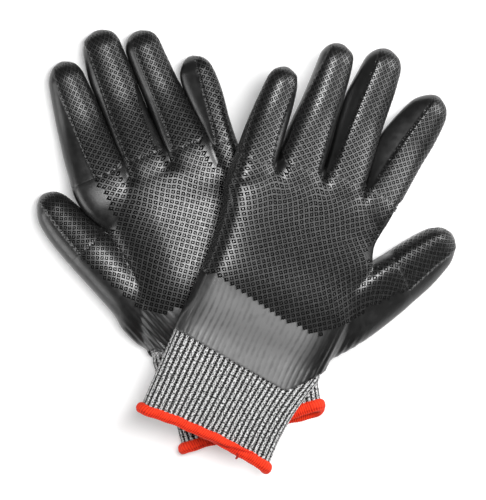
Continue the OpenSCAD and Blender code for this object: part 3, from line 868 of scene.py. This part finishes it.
def palm_places(side, u, v, digits):
    """Palm points with given pattern coordinates, by Newton steps, and which of them were found."""
    x, y = turned(-PALM_TURN[side], u, v)
    for _ in range(STEP_COUNT):
        u0, v0 = grip_coordinates(side, x, y, digits)
        ux, vx = grip_coordinates(side, x + TINY, y, digits)
        uy, vy = grip_coordinates(side, x, y + TINY, digits)
        a, b = (ux - u0) / TINY, (uy - u0) / TINY
        c, d = (vx - v0) / TINY, (vy - v0) / TINY
        scale = a * d - b * c
        scale = np.where(np.abs(scale) < LEAST_SCALE, LEAST_SCALE, scale)
        ru, rv = u - u0, v - v0
        x = x + np.clip((d * ru - b * rv) / scale, -LONGEST_STEP, LONGEST_STEP)
        y = y + np.clip((a * rv - c * ru) / scale, -LONGEST_STEP, LONGEST_STEP)
    u0, v0 = grip_coordinates(side, x, y, digits)
    return x, y, np.hypot(u - u0, v - v0) < LARGEST_MISS


def inside_outline(outline, x, y):
    inside = np.zeros(x.shape, bool)
    for (x0, y0), (x1, y1) in zip(outline, outline[1:] + outline[:1]):
        crosses = (y0 > y) != (y1 > y)
        at = x0 + (y - y0) / (y1 - y0 if y1 != y0 else 1) * (x1 - x0)
        inside ^= crosses & (x < at)
    return inside


def past_seam(x, y, digits):
    """How far points lie past the seam of the digit that they are on; far below 0 on the palm."""
    past = np.full(x.shape, -FAR_OFF)
    for digit in digits.values():
        along, across = digit.local(x, y)
        low, high = np.moveaxis(curve(digit.stations, along), -1, 0)
        on_digit = (across > low - SEAM_MARGIN) & (across < high + SEAM_MARGIN)
        past = np.where(on_digit, np.maximum(past, along - SEAM), past)
    return past


def span_limits(digit, along):
    """Limits of a digit's grip across it, at distances along it."""
    places, lows, highs = np.array(GRIP_SPAN[digit.side][digit.name], float).T
    return np.interp(along, places, lows), np.interp(along, places, highs)


def within_spans(side, x, y, digits):
    """Whether palm points near the finger roots lie inside the span of their nearest finger."""
    nearest, within = np.full(x.shape, np.inf), np.ones(x.shape, bool)
    for name in FINGERS:
        along, across = digits[name].local(x, y)
        low, high = span_limits(digits[name], along)
        kept = (along < GRIP_SPAN[side][name][0][0]) | ((across > low) & (across < high))
        within = np.where(np.abs(across) < nearest, kept, within)
        nearest = np.minimum(nearest, np.abs(across))
    return within


def whole_cells(inside, *indices):
    """Points whose pattern cell has its middle inside; whole cells leave the sawtooth edge of the grip."""
    middles = [
        np.clip(index // PITCH_PARTS * PITCH_PARTS + PITCH_PARTS // 2 - index[0], 0, len(index) - 1)
        for index in indices
    ]
    return inside[np.ix_(*middles)]


def build_palm_grip(side, skins, digits):
    """The embossed sheet over the palm: a grid along the ridges, laid on the skin from outside."""
    p_index, q_index = (np.arange(int(low / SHEET_STEP), int(high / SHEET_STEP)) for low, high in SHEET_REACH)
    p, q = np.meshgrid(p_index * SHEET_STEP, q_index * SHEET_STEP, indexing="ij")
    plain_u, plain_v = (p + q) / ROOT_TWO, (p - q) / ROOT_TWO
    shift_u, shift_v = groove_shift(plain_u, plain_v)
    u, v = plain_u + shift_u, plain_v + shift_v
    near = (u > PATTERN_U[0]) & (u < PATTERN_U[1]) & (v > PATTERN_V[0]) & (v < PATTERN_V[1])
    x, y = np.full(u.shape, FAR_OFF), np.full(u.shape, FAR_OFF)
    good = np.zeros(u.shape, bool)
    x[near], y[near], good[near] = palm_places(side, u[near], v[near], digits)
    past = past_seam(x, y, digits)
    inside = inside_outline(GRIP_OUTLINE[side], x, y) & within_spans(side, x, y, digits) & good
    fit = good & (past < SEAM_OVERLAP)
    kept = whole_cells(inside, p_index, q_index)[:-1, :-1]
    rows, columns = np.nonzero(kept & fit[:-1, :-1] & fit[1:, :-1] & fit[:-1, 1:] & fit[1:, 1:])
    first = rows * len(q_index) + columns
    following = first + len(q_index)
    used, quads = used_points(np.stack([first + 1, following + 1, following, first], -1))
    inner = np.bincount(quads.ravel(), minlength=len(used)) == 4
    points, normals, hit = cast_on(skins, x.ravel()[used], y.ravel()[used])
    height = relief(plain_u.ravel()[used], plain_v.ravel()[used])
    lift = np.where(inner, GRIP_LIFT + GRIP_DEPTH * height, RIM_LIFT)
    lift = lift - SEAM_DIVE * smooth_step(0, SEAM_OVERLAP, past.ravel()[used])
    values = {"relief": np.where(inner, height, RIM_RELIEF)}
    faces = [quads[hit[quads].all(1)]]
    add_piece(side, "palm_grip", points + normals * lift[:, None], faces, "rubber_grip", values, crisp=True)


# Where a digit's grip fades: at the limits of its span, toward its back by the share of the way round,
# and over its tip
SPAN_FADE = (0, 2.4)
BACK_FADE = (0.21, 0.27)
TIP_FADE = (0.55, 1.15)
# At the root it starts before the seam, on the flanks later and more slowly; flanks are given by
# the share of the way round
FLANK = (0.07, 0.19)
ROOT_LEAD = 1.2
ROOT_FADE = 0.8
FLANK_LATER = 3
FLANK_FADE = 3.5
# Half of the way round with columns in step with the pattern, and the columns of the rest
FINE_HALF = 0.29
BACK_COLUMNS = 30
# How far the coat and the liner turn over the tip, as angles
COAT_TURN = 1.48
LINER_TURN = 1.45
LINER_DEPTH = -2.0
LINER_COLUMNS = 40
LINER_BASE_ROWS = 16
LINER_TIP_ROWS = 34


def grip_mask(digit, run, sides, share):
    """Where a digit carries the grip: 1 inside its span and away from its back and its tip."""
    low, high = span_limits(digit, run)
    within = smooth_step(*SPAN_FADE, sides - low[:, None]) * smooth_step(*SPAN_FADE, high[:, None] - sides)
    on_palm = 1 - smooth_step(*BACK_FADE, np.abs(share))[None, :]
    tip_fade = 1 - smooth_step(*TIP_FADE, (run - digit.length + digit.dome) / digit.dome)[:, None]
    flank = smooth_step(*FLANK, np.abs(share))[None, :]
    past_start = run[:, None] - SEAM + ROOT_LEAD - FLANK_LATER * flank
    return within * on_palm * tip_fade * smooth_step(0, ROOT_FADE + FLANK_FADE * flank, past_start)


def pattern_steps(phase, low, high, scale):
    """Places from low to high at which the pattern has a row or a column of points."""
    first = math.ceil((phase + scale * low) / TUBE_STEP)
    last = math.floor((phase + scale * high) / TUBE_STEP)
    return (np.arange(first, last + 1) * TUBE_STEP - phase) / scale


def add_sleeve(digit, part, kind, rings, values, finish, **settings):
    """A piece of a digit through rings, closed by a pole if it is the tip."""
    rows, columns = rings.shape[:2]
    faces = [grid_faces(rows, columns)]
    if "relief" in values:
        faces = [split_faces(faces[0], values["relief"])]
    points = rings.reshape(-1, 3)
    if part == "tip":
        points = np.concatenate([points, rings[-1].mean(0)[None]])
        faces.append(cap_faces((rows - 1) * columns, columns, rows * columns))
        values = {key: np.append(value, 0) for key, value in values.items()}
    name = f"{digit.name}_{part}_{kind}"
    return add_piece(digit.side, name, points, faces, finish, values, rides=False, **settings)


def add_sleeves(digit, kind, base, tip, cut, finish, **settings):
    """Base and tip pieces of a digit, each from [rings, values], with their placing baked into their points.
    """
    low = add_sleeve(digit, "base", kind, *base, finish, **settings)
    high = add_sleeve(digit, "tip", kind, *tip, finish, **settings)
    ends = (SEAM, cut, digit.bend + digit.bend_half)
    start, middle, end = (place(digit.side, digit.spine(along)) for along in ends)
    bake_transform(low)
    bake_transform(high)


def build_digit(digit):
    """Base and tip skins of a digit, with the grip embossed on the palm side, and their liner."""
    girth = FINER * digit.girth()
    fine = pattern_steps(digit.phase[0], -FINE_HALF, FINE_HALF, girth)
    coarse = np.linspace(fine[-1], 1 + fine[0], BACK_COLUMNS)[1:-1]
    share = np.concatenate([fine, coarse])
    share = np.sort(np.where(share >= 0.5, share - 1, share))
    run = pattern_steps(digit.phase[1], SEAM - TUCK, digit.skin_end(COAT_TURN), FINER)
    inside = (SEAM + 1 - run) / TUCK
    tucked = -TUCK_DEPTH * np.clip(2 * inside, 0, 1) - TUCK_END * smooth_step(0.5, 1, inside)
    points, sides = digit.rings(run, share, tucked)
    along, round_it, normals = grid_frame(points)
    mask = grip_mask(digit, run, sides, share)
    u, v = digit.phase[0] + girth * share[None, :], digit.phase[1] + FINER * run[:, None]
    height = relief(u, v)
    shift_u, shift_v = groove_shift(u, v)
    points = points + (mask * shift_u)[..., None] * round_it + (mask * shift_v)[..., None] * along
    points = points + normals * (mask * (GRIP_LIFT + GRIP_DEPTH * height))[..., None]
    values = {"relief": mask * height, "grip": mask}
    cut = int(np.searchsorted(run, digit.bend - digit.bend_half))
    base = points[:cut + 1], {key: value[:cut + 1] for key, value in values.items()}
    tip = points[cut:], {key: value[cut:] for key, value in values.items()}
    add_sleeves(digit, "coat", base, tip, run[cut], "rubber_digit", slot="rubber_coat", crisp=True)
    build_digit_liner(digit, run[cut])


def build_digit_liner(digit, cut):
    """Knit liner inside a digit, as a base sleeve and a closed tip."""
    share = np.linspace(-0.5, 0.5, LINER_COLUMNS, endpoint=False)
    base_run = np.linspace(SEAM - SEAM_BACK, cut, LINER_BASE_ROWS)
    tip_run = np.linspace(cut, digit.skin_end(LINER_TURN), LINER_TIP_ROWS)
    base, tip = ((digit.rings(run, share, LINER_DEPTH)[0], {}) for run in (base_run, tip_run))
    add_sleeves(digit, "liner", base, tip, cut, "knit_liner")


RIB_COUNT = round(cuff_girth() / RIB_PITCH)
RIB_COLUMNS = 8
# Flanks of a rib by the distance from its middle, in pitches, and the height from which it shows as one
RIB_FLANK = (0.2, 0.46)
RIB_SEEN = 0.4
# Stitches, in chevrons on the ribs and straight in the grooves: their rows and how far they stand out
STITCH_ROW = 1.15
STITCH_OUT = 0.13
CHEVRON = 1.1
GROOVE_ROW = 1.6
GROOVE_OUT = 0.16
# The cuff runs up under the rubber: to where, from where to where it sinks, and how deep
CUFF_TOP = -10
CUFF_ROW = 0.38
UNDER_RUN = (2, -3)
UNDER_DEPTH = 1.2
# Inside of the cuff: its rows, how many of the outer columns go to one of its own, and what it shows
INNER_ROWS = 24
INNER_STEP = 4
# Its look is mostly the painted shade of the grooves
INNER_LOOK = {"rib": 0.7, "stitch": 0.5}


def build_cuff(side):
    """Rib-knit cuff: rounded ribs of stitch columns with narrow sunk grooves between them, and its inside."""
    columns = RIB_COUNT * RIB_COLUMNS
    share = np.arange(columns) / columns
    from_rib = np.abs((np.arange(columns) % RIB_COLUMNS) / RIB_COLUMNS - 0.5)
    below = np.arange(CUFF_TOP, CUFF_LENGTH + 1, CUFF_ROW)[:, None]
    rib = 1 - smooth_step(*RIB_FLANK, from_rib)
    chevron = np.cos(2 * np.pi * (below / STITCH_ROW + CHEVRON * from_rib))
    groove_stitch = np.cos(2 * np.pi * below / GROOVE_ROW) * (1 - rib)
    out = RIB_DEPTH * (rib - 1) + STITCH_OUT * chevron * rib + GROOVE_OUT * groove_stitch
    out = out - UNDER_DEPTH * smooth_step(*UNDER_RUN, below)
    outer = cuff_points(side, below[:, 0], share, out)[::-1]
    inner_below = np.linspace(CUFF_LENGTH, CUFF_TOP, INNER_ROWS)
    inner_share = share[::INNER_STEP]
    inner = cuff_points(side, inner_below, inner_share, -CUFF_WALL)
    girth = cuff_girth()
    stitch = 0.5 + 0.5 * np.where(rib > RIB_SEEN, chevron, groove_stitch)
    outer_look = {"rib": rib, "stitch": stitch, "round": share * girth, "along": below}
    inner_look = {**INNER_LOOK, "round": inner_share * girth, "along": inner_below[:, None]}
    values = {}
    for key, look in outer_look.items():
        inner_values = np.broadcast_to(inner_look[key], inner.shape[:2])
        values[key] = np.append(np.broadcast_to(look, out.shape)[::-1], inner_values)
    inner_faces = grid_faces(*inner.shape[:2])[:, ::-1] + out.size
    points = np.concatenate([outer.reshape(-1, 3), inner.reshape(-1, 3)])
    add_piece(side, "cuff_knit", points, [grid_faces(*out.shape), inner_faces], "knit_cuff", values)


# Hem: columns round it and points of its section, its size, how square its section is and how it wobbles
HEM_COLUMNS = 640
HEM_SECTION = 28
HEM_SHOWN = 7.1
HEM_SQUARE = 0.8
HEM_THICK = 2.0
HEM_END_THICK = 3.0
HEM_SINK = -0.65
HEM_WOBBLE = 0.35
WOBBLE_WAVES = (11, 4)
# Wraps of thread: their pitch, slant, height, and how far they reach past the section
HEM_STITCH = 1.5
WRAP_SLANT = 0.9
WRAP_HEIGHT = 0.4
WRAP_REACH = 0.3
# Line where the wraps lock together, as a share of the hem's half height below its middle
LOCK_LINE = 0.5
LOCK_WIDTH = 0.16
LOCK_DEPTH = 0.35
# How much painted shade darkens the lock line
LOCK_SHADE = 0.55
# The thread's run ends on top of its start, and tapers off toward the hand: [across start, across end]
OVERLAP = {"left": (50, 60), "right": (0, 35)}
OVERLAP_LEAD = 12
OVERLAP_RISE = 1.0
# Edge of that run across the hem, from past one side of the section to past the other, and the groove there
STRAND_ENDS = (1.1, -1.1)
STRAND_FLANK = (0.15, -0.15)
STRAND_WIDTH = 0.2
STRAND_GROOVE = 0.7
# How much painted shade darkens the groove between the strands
STRAND_SHADE = 0.7


def build_hem(side):
    """Overlocked hem: a rounded band of slanting thread wraps round the cuff's edge."""
    share = np.arange(HEM_COLUMNS) / HEM_COLUMNS
    stitches = round(cuff_girth() / HEM_STITCH)
    x, _, out_x, _ = oval_points(CUFF_WIDTH / 2, CUFF_THICKNESS / 2, share)
    thick = HEM_THICK + (HEM_END_THICK - HEM_THICK) * np.abs(out_x)
    start, end = OVERLAP[side]
    on_top = np.abs(share - 0.5) > 0.25
    doubled = window((start - OVERLAP_LEAD, start), (end, end + 1), x) * on_top
    strand_edge = np.interp(x, (start, end), STRAND_ENDS)
    turn = share * 2 * np.pi
    wobble = HEM_WOBBLE * np.sin(WOBBLE_WAVES[0] * turn) * np.sin(WOBBLE_WAVES[1] * turn + 1)
    rows, wraps = [], []
    for angle in np.linspace(0, 2 * np.pi, HEM_SECTION, endpoint=False):
        edge, face = math.cos(angle), math.sin(angle)
        outside = max(face, 0)
        wrap = np.abs(np.sin(np.pi * (share * stitches + WRAP_SLANT * edge / HEM_STITCH)))
        lock = math.exp(-(((edge - LOCK_LINE) / LOCK_WIDTH) ** 2)) * outside
        over = doubled * outside
        from_strand = edge - strand_edge
        groove = over * np.exp(-((from_strand / STRAND_WIDTH) ** 2))
        rise = OVERLAP_RISE * over * smooth_step(*STRAND_FLANK, from_strand) - STRAND_GROOVE * groove
        out = HEM_SINK + face * (thick + WRAP_HEIGHT * (wrap - 0.5)) + rise - LOCK_DEPTH * lock
        half_shown = np.sign(edge) * abs(edge) ** HEM_SQUARE * HEM_SHOWN / 2
        ring = cuff_points(side, [CUFF_LENGTH + HEM_HEIGHT / 2 + half_shown], share, out[None, :])[0]
        ring[:, 1] += wobble - WRAP_REACH * (wrap - 0.5) * edge
        rows.append(ring)
        # Painted shade: darker between the wraps, along the lock line and in the groove between the strands
        wraps.append(np.clip(wrap - LOCK_SHADE * lock - STRAND_SHADE * groove, 0, 1))
    faces = grid_faces(HEM_SECTION + 1, HEM_COLUMNS) % (HEM_SECTION * HEM_COLUMNS)
    add_piece(side, "hem_overlock", np.array(rows), [faces], "hem_thread", {"wrap": np.array(wraps)})


TUBE_SIDES = 8
# A direction that no tube follows
ASIDE = np.array([0.03, 0.02, 1.0])


def tube(path, radius):
    """Points and faces of a round tube along a path, closed at its ends."""
    ahead = unit(np.gradient(path, axis=0))
    first = unit(np.cross(ahead, ASIDE))
    second = np.cross(ahead, first)
    turn = np.linspace(0, 2 * np.pi, TUBE_SIDES, endpoint=False)[None, :, None]
    radius = np.broadcast_to(radius, (len(path),))[:, None, None]
    out = np.cos(turn) * first[:, None] + np.sin(turn) * second[:, None]
    points, faces = loft_part(path[:, None] + radius * out)
    return points, [f[:, ::-1] for f in faces]


YARN_TURNS = 4
YARN_TURN_POINTS = 120
YARN_MARGIN = 6
YARN_RADIUS = 0.4


def build_elastic(side):
    """Covered elastic yarn laid in turns inside the cuff."""
    count = YARN_TURNS * YARN_TURN_POINTS
    depth = np.linspace(YARN_MARGIN, CUFF_LENGTH - YARN_MARGIN, count)
    share = np.linspace(0, YARN_TURNS, count)
    inset = -CUFF_WALL - 2 * YARN_RADIUS
    path = np.array([cuff_points(side, [d], np.array([s]), inset)[0, 0] for d, s in zip(depth, share)])
    add_piece(side, "cuff_elastic", *tube(path, YARN_RADIUS), "elastic_yarn")


# Thread tail: its place round the hem, how far above the hem's edge and out it starts, and its size and curl
TAIL_SHARE = 0.108
TAIL_ABOVE = 1
TAIL_OUT = 0.5
TAIL_POINTS = 16
TAIL_LENGTH = 3.5
TAIL_SWAY = 1.2
TAIL_CURL = 2.2
TAIL_DROP = 1.6
TAIL_RADIUS = 0.9
TAIL_TAPER = 0.4


def build_tail(side):
    """Short end of the overlock thread at the hem."""
    depth = CUFF_LENGTH + HEM_HEIGHT - TAIL_ABOVE
    start = cuff_points(side, [depth], np.array([TAIL_SHARE]), TAIL_OUT)[0, 0]
    part = np.linspace(0, 1, TAIL_POINTS)
    course = [TAIL_SWAY * np.sin(part * TAIL_CURL), -TAIL_LENGTH * part, -TAIL_DROP * part**2]
    points, faces = tube(start + np.stack(course, -1), TAIL_RADIUS - TAIL_TAPER * part**3)
    add_piece(side, "hem_tail", points, faces, "hem_thread")


class Finish:
    """A node material, with short calls for the nodes that it uses."""

    def __init__(self, name):
        self.material = bpy.data.materials.new(name)
        self.material.use_nodes = True
        self.tree = self.material.node_tree
        self.shader = self.tree.nodes["Principled BSDF"]

    def node(self, kind, settings=None, **inputs):
        """A new node; an input goes by its name, or by its number after an underscore."""
        made = self.tree.nodes.new(kind)
        for key, value in (settings or {}).items():
            setattr(made, key, value)
        for key, value in inputs.items():
            self.wire(value, made.inputs[int(key[1:]) if key[0] == "_" else key])
        return made

    def wire(self, value, socket):
        if isinstance(value, bpy.types.NodeSocket):
            self.tree.links.new(value, socket)
        else:
            socket.default_value = value

    def value(self, name):
        """A value that the mesh carries at its points."""
        return self.node("ShaderNodeAttribute", {"attribute_name": name}).outputs["Fac"]

    def where(self):
        return self.node("ShaderNodeTexCoord").outputs["Object"]

    def noise(self, scale, detail, vector=None):
        vector = vector or self.where()
        return self.node("ShaderNodeTexNoise", Vector=vector, Scale=scale, Detail=detail).outputs["Fac"]

    def wave(self, direction, scale, distortion):
        settings = {"bands_direction": direction}
        inputs = {"Vector": self.where(), "Scale": scale, "Distortion": distortion}
        return self.node("ShaderNodeTexWave", settings, **inputs).outputs["Fac"]

    def calc(self, operation, a, b):
        return self.node("ShaderNodeMath", {"operation": operation}, _0=a, _1=b).outputs[0]

    def mix(self, share, low, high):
        return self.node("ShaderNodeMix", {"data_type": "RGBA"}, _0=share, _6=low, _7=high).outputs[2]

    def ramp(self, value, stops):
        """Shades by a value, from stops of [value, grey or colour]."""
        made = self.node("ShaderNodeValToRGB", Fac=value)
        elements = made.color_ramp.elements
        while len(elements) < len(stops):
            elements.new(0.5)
        for element, (at, shade) in zip(elements, stops):
            element.position = at
            element.color = (*((shade,) * 3 if np.isscalar(shade) else shade), 1)
        return made.outputs["Color"]

    def mottle(self, scale, detail, low, high, end):
        """A grey that varies with a noise."""
        return self.ramp(self.noise(scale, detail), [(MOTTLE_START, low), (end, high)])

    def bump(self, height, strength, distance):
        made = self.node("ShaderNodeBump", Height=height, Strength=strength, Distance=distance)
        self.tree.links.new(made.outputs["Normal"], self.shader.inputs["Normal"])

    def surface(self, **inputs):
        for key, value in inputs.items():
            self.wire(value, self.shader.inputs[key.replace("_", " ")])


# Mottles: scale and detail of their noise, lowest and highest value, and the noise at which they reach it
MOTTLE_START = 0.3
SMOOTH_SHADE = (90, 4, 0.004, 0.01, 0.75)
SMOOTH_ROUGH = (260, 4, 0.28, 0.4, 0.7)
GRIP_ROUGH = (500, 3, 0.3, 0.4, 0.7)
THREAD_MOTTLE = (500, 4, 0.7, 1.15, 0.7)
# Noises: their scale and detail
WEAR_AND_SHADE_NOISE = (300, 3)
THIN_NOISE = (160, 4)
RUBBER_GRAIN = (2600, 2)
FLECK_NOISE = (1.0, 4)
FUZZ_NOISE = (3.0, 2)
LINER_NOISE = (900, 3)
THREAD_GRAIN = (2500, 2)
# Grip shades by height: near black in the pits as painted shade, grey on the ridges as wear and painted sheen
GRIP_SHADES = [(0.0, 0.0015), (0.15, 0.003), (0.35, 0.008), (0.6, 0.015)]
# Thin rubber over the knit is greyer on the ribs
THIN_SHADES = [(0.3, 0.06), (1.0, 0.17)]
RUBBER_GLOSS = 0.75
# Bumps: their strength and their height in metres
COAT_BUMP = (0.25, 0.00012)
GRIP_BUMP = (0.2, 0.0001)
DIGIT_BUMP = (0.22, 0.0001)
KNIT_BUMP = (0.4, 0.0002)
LINER_BUMP = (0.4, 0.0003)
THREAD_BUMP = (0.3, 0.0001)
# Knit cuff: flecks to the millimetre round and along it, shades on ribs and in grooves, and the ribs' edges
FLECK_SCALE = {"round": 1.5, "along": 0.8}
RIB_SHADES = [(0.4, 0.006), (0.46, 0.15), (0.53, 0.6), (0.75, 0.82)]
# Grooves and the ribs' flanks are painted dark as shade, lighter where the stitches stand out
GROOVE_SHADES = [(0.7, 0.003), (0.98, 0.3)]
RIB_EDGES = [(0.55, 0.0), (0.96, 1.0)]
# Waves of the liner's knit and of the yarn's cover: direction, scale and distortion
LINER_WAVE = ("X", 380, 1.5)
LINER_SHADES = [(0.1, 0.12), (0.6, 0.4)]
YARN_WAVE = ("DIAGONAL", 900, 0.6)
YARN_SHADES = [(0.0, 0.5), (1.0, 0.75)]
# Orange-red thread, with painted shade between the wraps
THREAD_SHADES = [(0.2, (0.24, 0.006, 0.002)), (0.7, (0.66, 0.02, 0.004)), (1.0, (0.8, 0.04, 0.008))]
THREAD_LIGHT = 0.35


def rubber(made, shade, roughness, bump):
    made.surface(Base_Color=shade, Roughness=roughness, Specular_IOR_Level=RUBBER_GLOSS)
    made.bump(made.noise(*RUBBER_GRAIN), *bump)
    return made.material


# Grip colour by height and a noise: painted shade in the pits, wear and painted sheen on the ridges
def grip_shade(made):
    return made.ramp(made.calc("MULTIPLY", made.value("relief"), made.noise(*WEAR_AND_SHADE_NOISE)), GRIP_SHADES)


def rubber_coat():
    """Smooth rubber, grey where thinner over the knit, with painted shade at the band's little-finger edge.
    """
    made = Finish("rubber_coat")
    over_ribs = made.calc("ADD", made.value("rib"), made.noise(*THIN_NOISE))
    shade = made.mix(made.value("thin_and_edge_shade"), made.mottle(*SMOOTH_SHADE), made.ramp(over_ribs, THIN_SHADES))
    return rubber(made, shade, made.mottle(*SMOOTH_ROUGH), COAT_BUMP)


def rubber_grip():
    """Embossed rubber of the palm, with painted shade in its pits."""
    made = Finish("rubber_grip")
    return rubber(made, grip_shade(made), made.mottle(*GRIP_ROUGH), GRIP_BUMP)


def rubber_digit():
    """Rubber of a digit: embossed on its grip, with painted shade in the pits, smooth outside it."""
    made = Finish("rubber_digit")
    grip = made.value("grip")
    shade = made.mix(grip, made.mottle(*SMOOTH_SHADE), grip_shade(made))
    rough = made.mix(grip, made.mottle(*SMOOTH_ROUGH), made.mottle(*GRIP_ROUGH))
    return rubber(made, shade, rough, DIGIT_BUMP)


def knit_cuff():
    """Light grey yarn with black flecks on the ribs, and painted shade in the grooves."""
    made = Finish("knit_cuff")
    across, down = (made.calc("MULTIPLY", made.value(key), scale) for key, scale in FLECK_SCALE.items())
    on_knit = made.node("ShaderNodeCombineXYZ", _0=across, _1=down).outputs[0]
    on_rib = made.ramp(made.noise(*FLECK_NOISE, on_knit), RIB_SHADES)
    # Painted shade in the grooves and on the ribs' flanks
    in_groove = made.ramp(made.value("stitch"), GROOVE_SHADES)
    shade = made.mix(made.ramp(made.value("rib"), RIB_EDGES), in_groove, on_rib)
    made.surface(Base_Color=shade, Roughness=0.9, Sheen_Weight=0.15, Specular_IOR_Level=0.2)
    made.bump(made.noise(*FUZZ_NOISE, on_knit), *KNIT_BUMP)
    return made.material


def knit_liner():
    """Grey knit in fine columns."""
    made = Finish("knit_liner")
    wave = made.wave(*LINER_WAVE)
    shade = made.ramp(made.calc("MULTIPLY", wave, made.noise(*LINER_NOISE)), LINER_SHADES)
    made.surface(Base_Color=shade, Roughness=0.9, Sheen_Weight=0.1)
    made.bump(wave, *LINER_BUMP)
    return made.material


def elastic_yarn():
    """Pale yarn wound round the elastic."""
    made = Finish("elastic_yarn")
    wave = made.wave(*YARN_WAVE)
    made.surface(Base_Color=made.ramp(wave, YARN_SHADES), Roughness=0.8)
    made.bump(wave, *KNIT_BUMP)
    return made.material


def hem_thread():
    """Orange-red thread, with painted shade between its wraps, on the lock line and in the strand groove."""
    made = Finish("hem_thread")
    light = made.calc("ADD", made.value("wrap"), THREAD_LIGHT)
    shade = made.ramp(made.calc("MULTIPLY", light, made.mottle(*THREAD_MOTTLE)), THREAD_SHADES)
    made.surface(Base_Color=shade, Roughness=0.75, Sheen_Weight=0.05, Specular_IOR_Level=0.2)
    made.bump(made.noise(*THREAD_GRAIN), *THREAD_BUMP)
    return made.material


FINISHES = (rubber_coat, rubber_grip, rubber_digit, knit_cuff, knit_liner, elastic_yarn, hem_thread)
MATERIAL = {finish.__name__: finish() for finish in FINISHES}


def build_glove(side):
    digits = {name: Digit(side, name) for name in DIGITS}
    points, quads = hand_skin(side, digits)
    skins = [BVHTree.FromPolygons(points.tolist(), quads.tolist())]
    for digit in digits.values():
        rings = stub_rings(digit, False)[-SEAM_RINGS:]
        faces = grid_faces(*rings.shape[:2])
        skins.append(BVHTree.FromPolygons(rings.reshape(-1, 3).tolist(), faces.tolist()))
    build_hand_coat(side, points, quads)
    build_hand_liner(side, points, quads)
    build_palm_grip(side, skins, digits)
    for digit in digits.values():
        build_digit(digit)
    build_cuff(side)
    build_elastic(side)
    build_hem(side)


for glove in SIDES:
    build_glove(glove)
build_tail("right")

# Stage: a white floor that keeps the shadow, soft light from above and from both sides, weaker from the left,
# and the camera straight above
PHOTO_MIDDLE = (0.0295, -0.0079)
PHOTO_HEIGHT = 0.300
CAMERA_HEIGHT = 2.4
CAMERA_REACH = 20
SENSOR = 36
FLOOR_HALF = 4.0
FLOOR_WHITE = 0.8
FLOOR_GLOW = 0.26
FILL = 0.06
WHITE = (1, 1, 1, 1)
# Lights: [name, place, aim, size, power]
LIGHTS = [
    ("over", (0.26, 0.14, 1.38), (0, 0, 0), (0.34, 0.6), 18),
    ("right", (1.04, 0.26, 0.6), (0.05, 0, 0), (0.7, 0.8), 13),
    ("left", (-0.95, -0.38, 0.44), (0, 0, 0), (0.9, 0.6), 6),
]


def floor_white():
    """White floor, which glows a little where it is seen, also in reflections."""
    made = Finish("floor_white")
    path = made.node("ShaderNodeLightPath").outputs
    mirrored = made.calc("MAXIMUM", path["Is Glossy Ray"], path["Is Transmission Ray"])
    seen = made.calc("MAXIMUM", path["Is Camera Ray"], mirrored)
    made.surface(Base_Color=(FLOOR_WHITE, FLOOR_WHITE, FLOOR_WHITE, 1), Roughness=0.9, Specular_IOR_Level=0.1)
    made.surface(Emission_Color=WHITE, Emission_Strength=made.calc("MULTIPLY", seen, FLOOR_GLOW))
    return made.material


def build_floor():
    corners = np.array([(-1, -1, 0), (1, -1, 0), (1, 1, 0), (-1, 1, 0)]) * FLOOR_HALF
    show("floor", make_mesh("floor", corners, [np.array([[0, 1, 2, 3]])]), floor_white())


def add_light(name, place_at, aim, size, power):
    data = bpy.data.lights.new(name, "AREA")
    data.shape = "RECTANGLE"
    data.size, data.size_y = size
    data.energy = power
    light = bpy.data.objects.new(name, data)
    light.location = place_at
    light.rotation_euler = (Vector(aim) - Vector(place_at)).to_track_quat("-Z", "Y").to_euler()
    bpy.context.scene.collection.objects.link(light)


def build_camera():
    data = bpy.data.cameras.new("camera")
    data.sensor_width = SENSOR
    data.lens = SENSOR * CAMERA_HEIGHT / PHOTO_HEIGHT
    data.clip_end = CAMERA_REACH
    camera = bpy.data.objects.new("camera", data)
    camera.location = (*PHOTO_MIDDLE, CAMERA_HEIGHT)
    bpy.context.scene.collection.objects.link(camera)
    bpy.context.scene.camera = camera


def build_stage():
    build_floor()
    world = bpy.data.worlds.new("studio")
    world.use_nodes = True
    ground = world.node_tree.nodes["Background"]
    ground.inputs["Color"].default_value = WHITE
    ground.inputs["Strength"].default_value = FILL
    bpy.context.scene.world = world
    for light in LIGHTS:
        add_light(*light)
    build_camera()
    bpy.context.scene.view_settings.view_transform = "Standard"


build_stage()
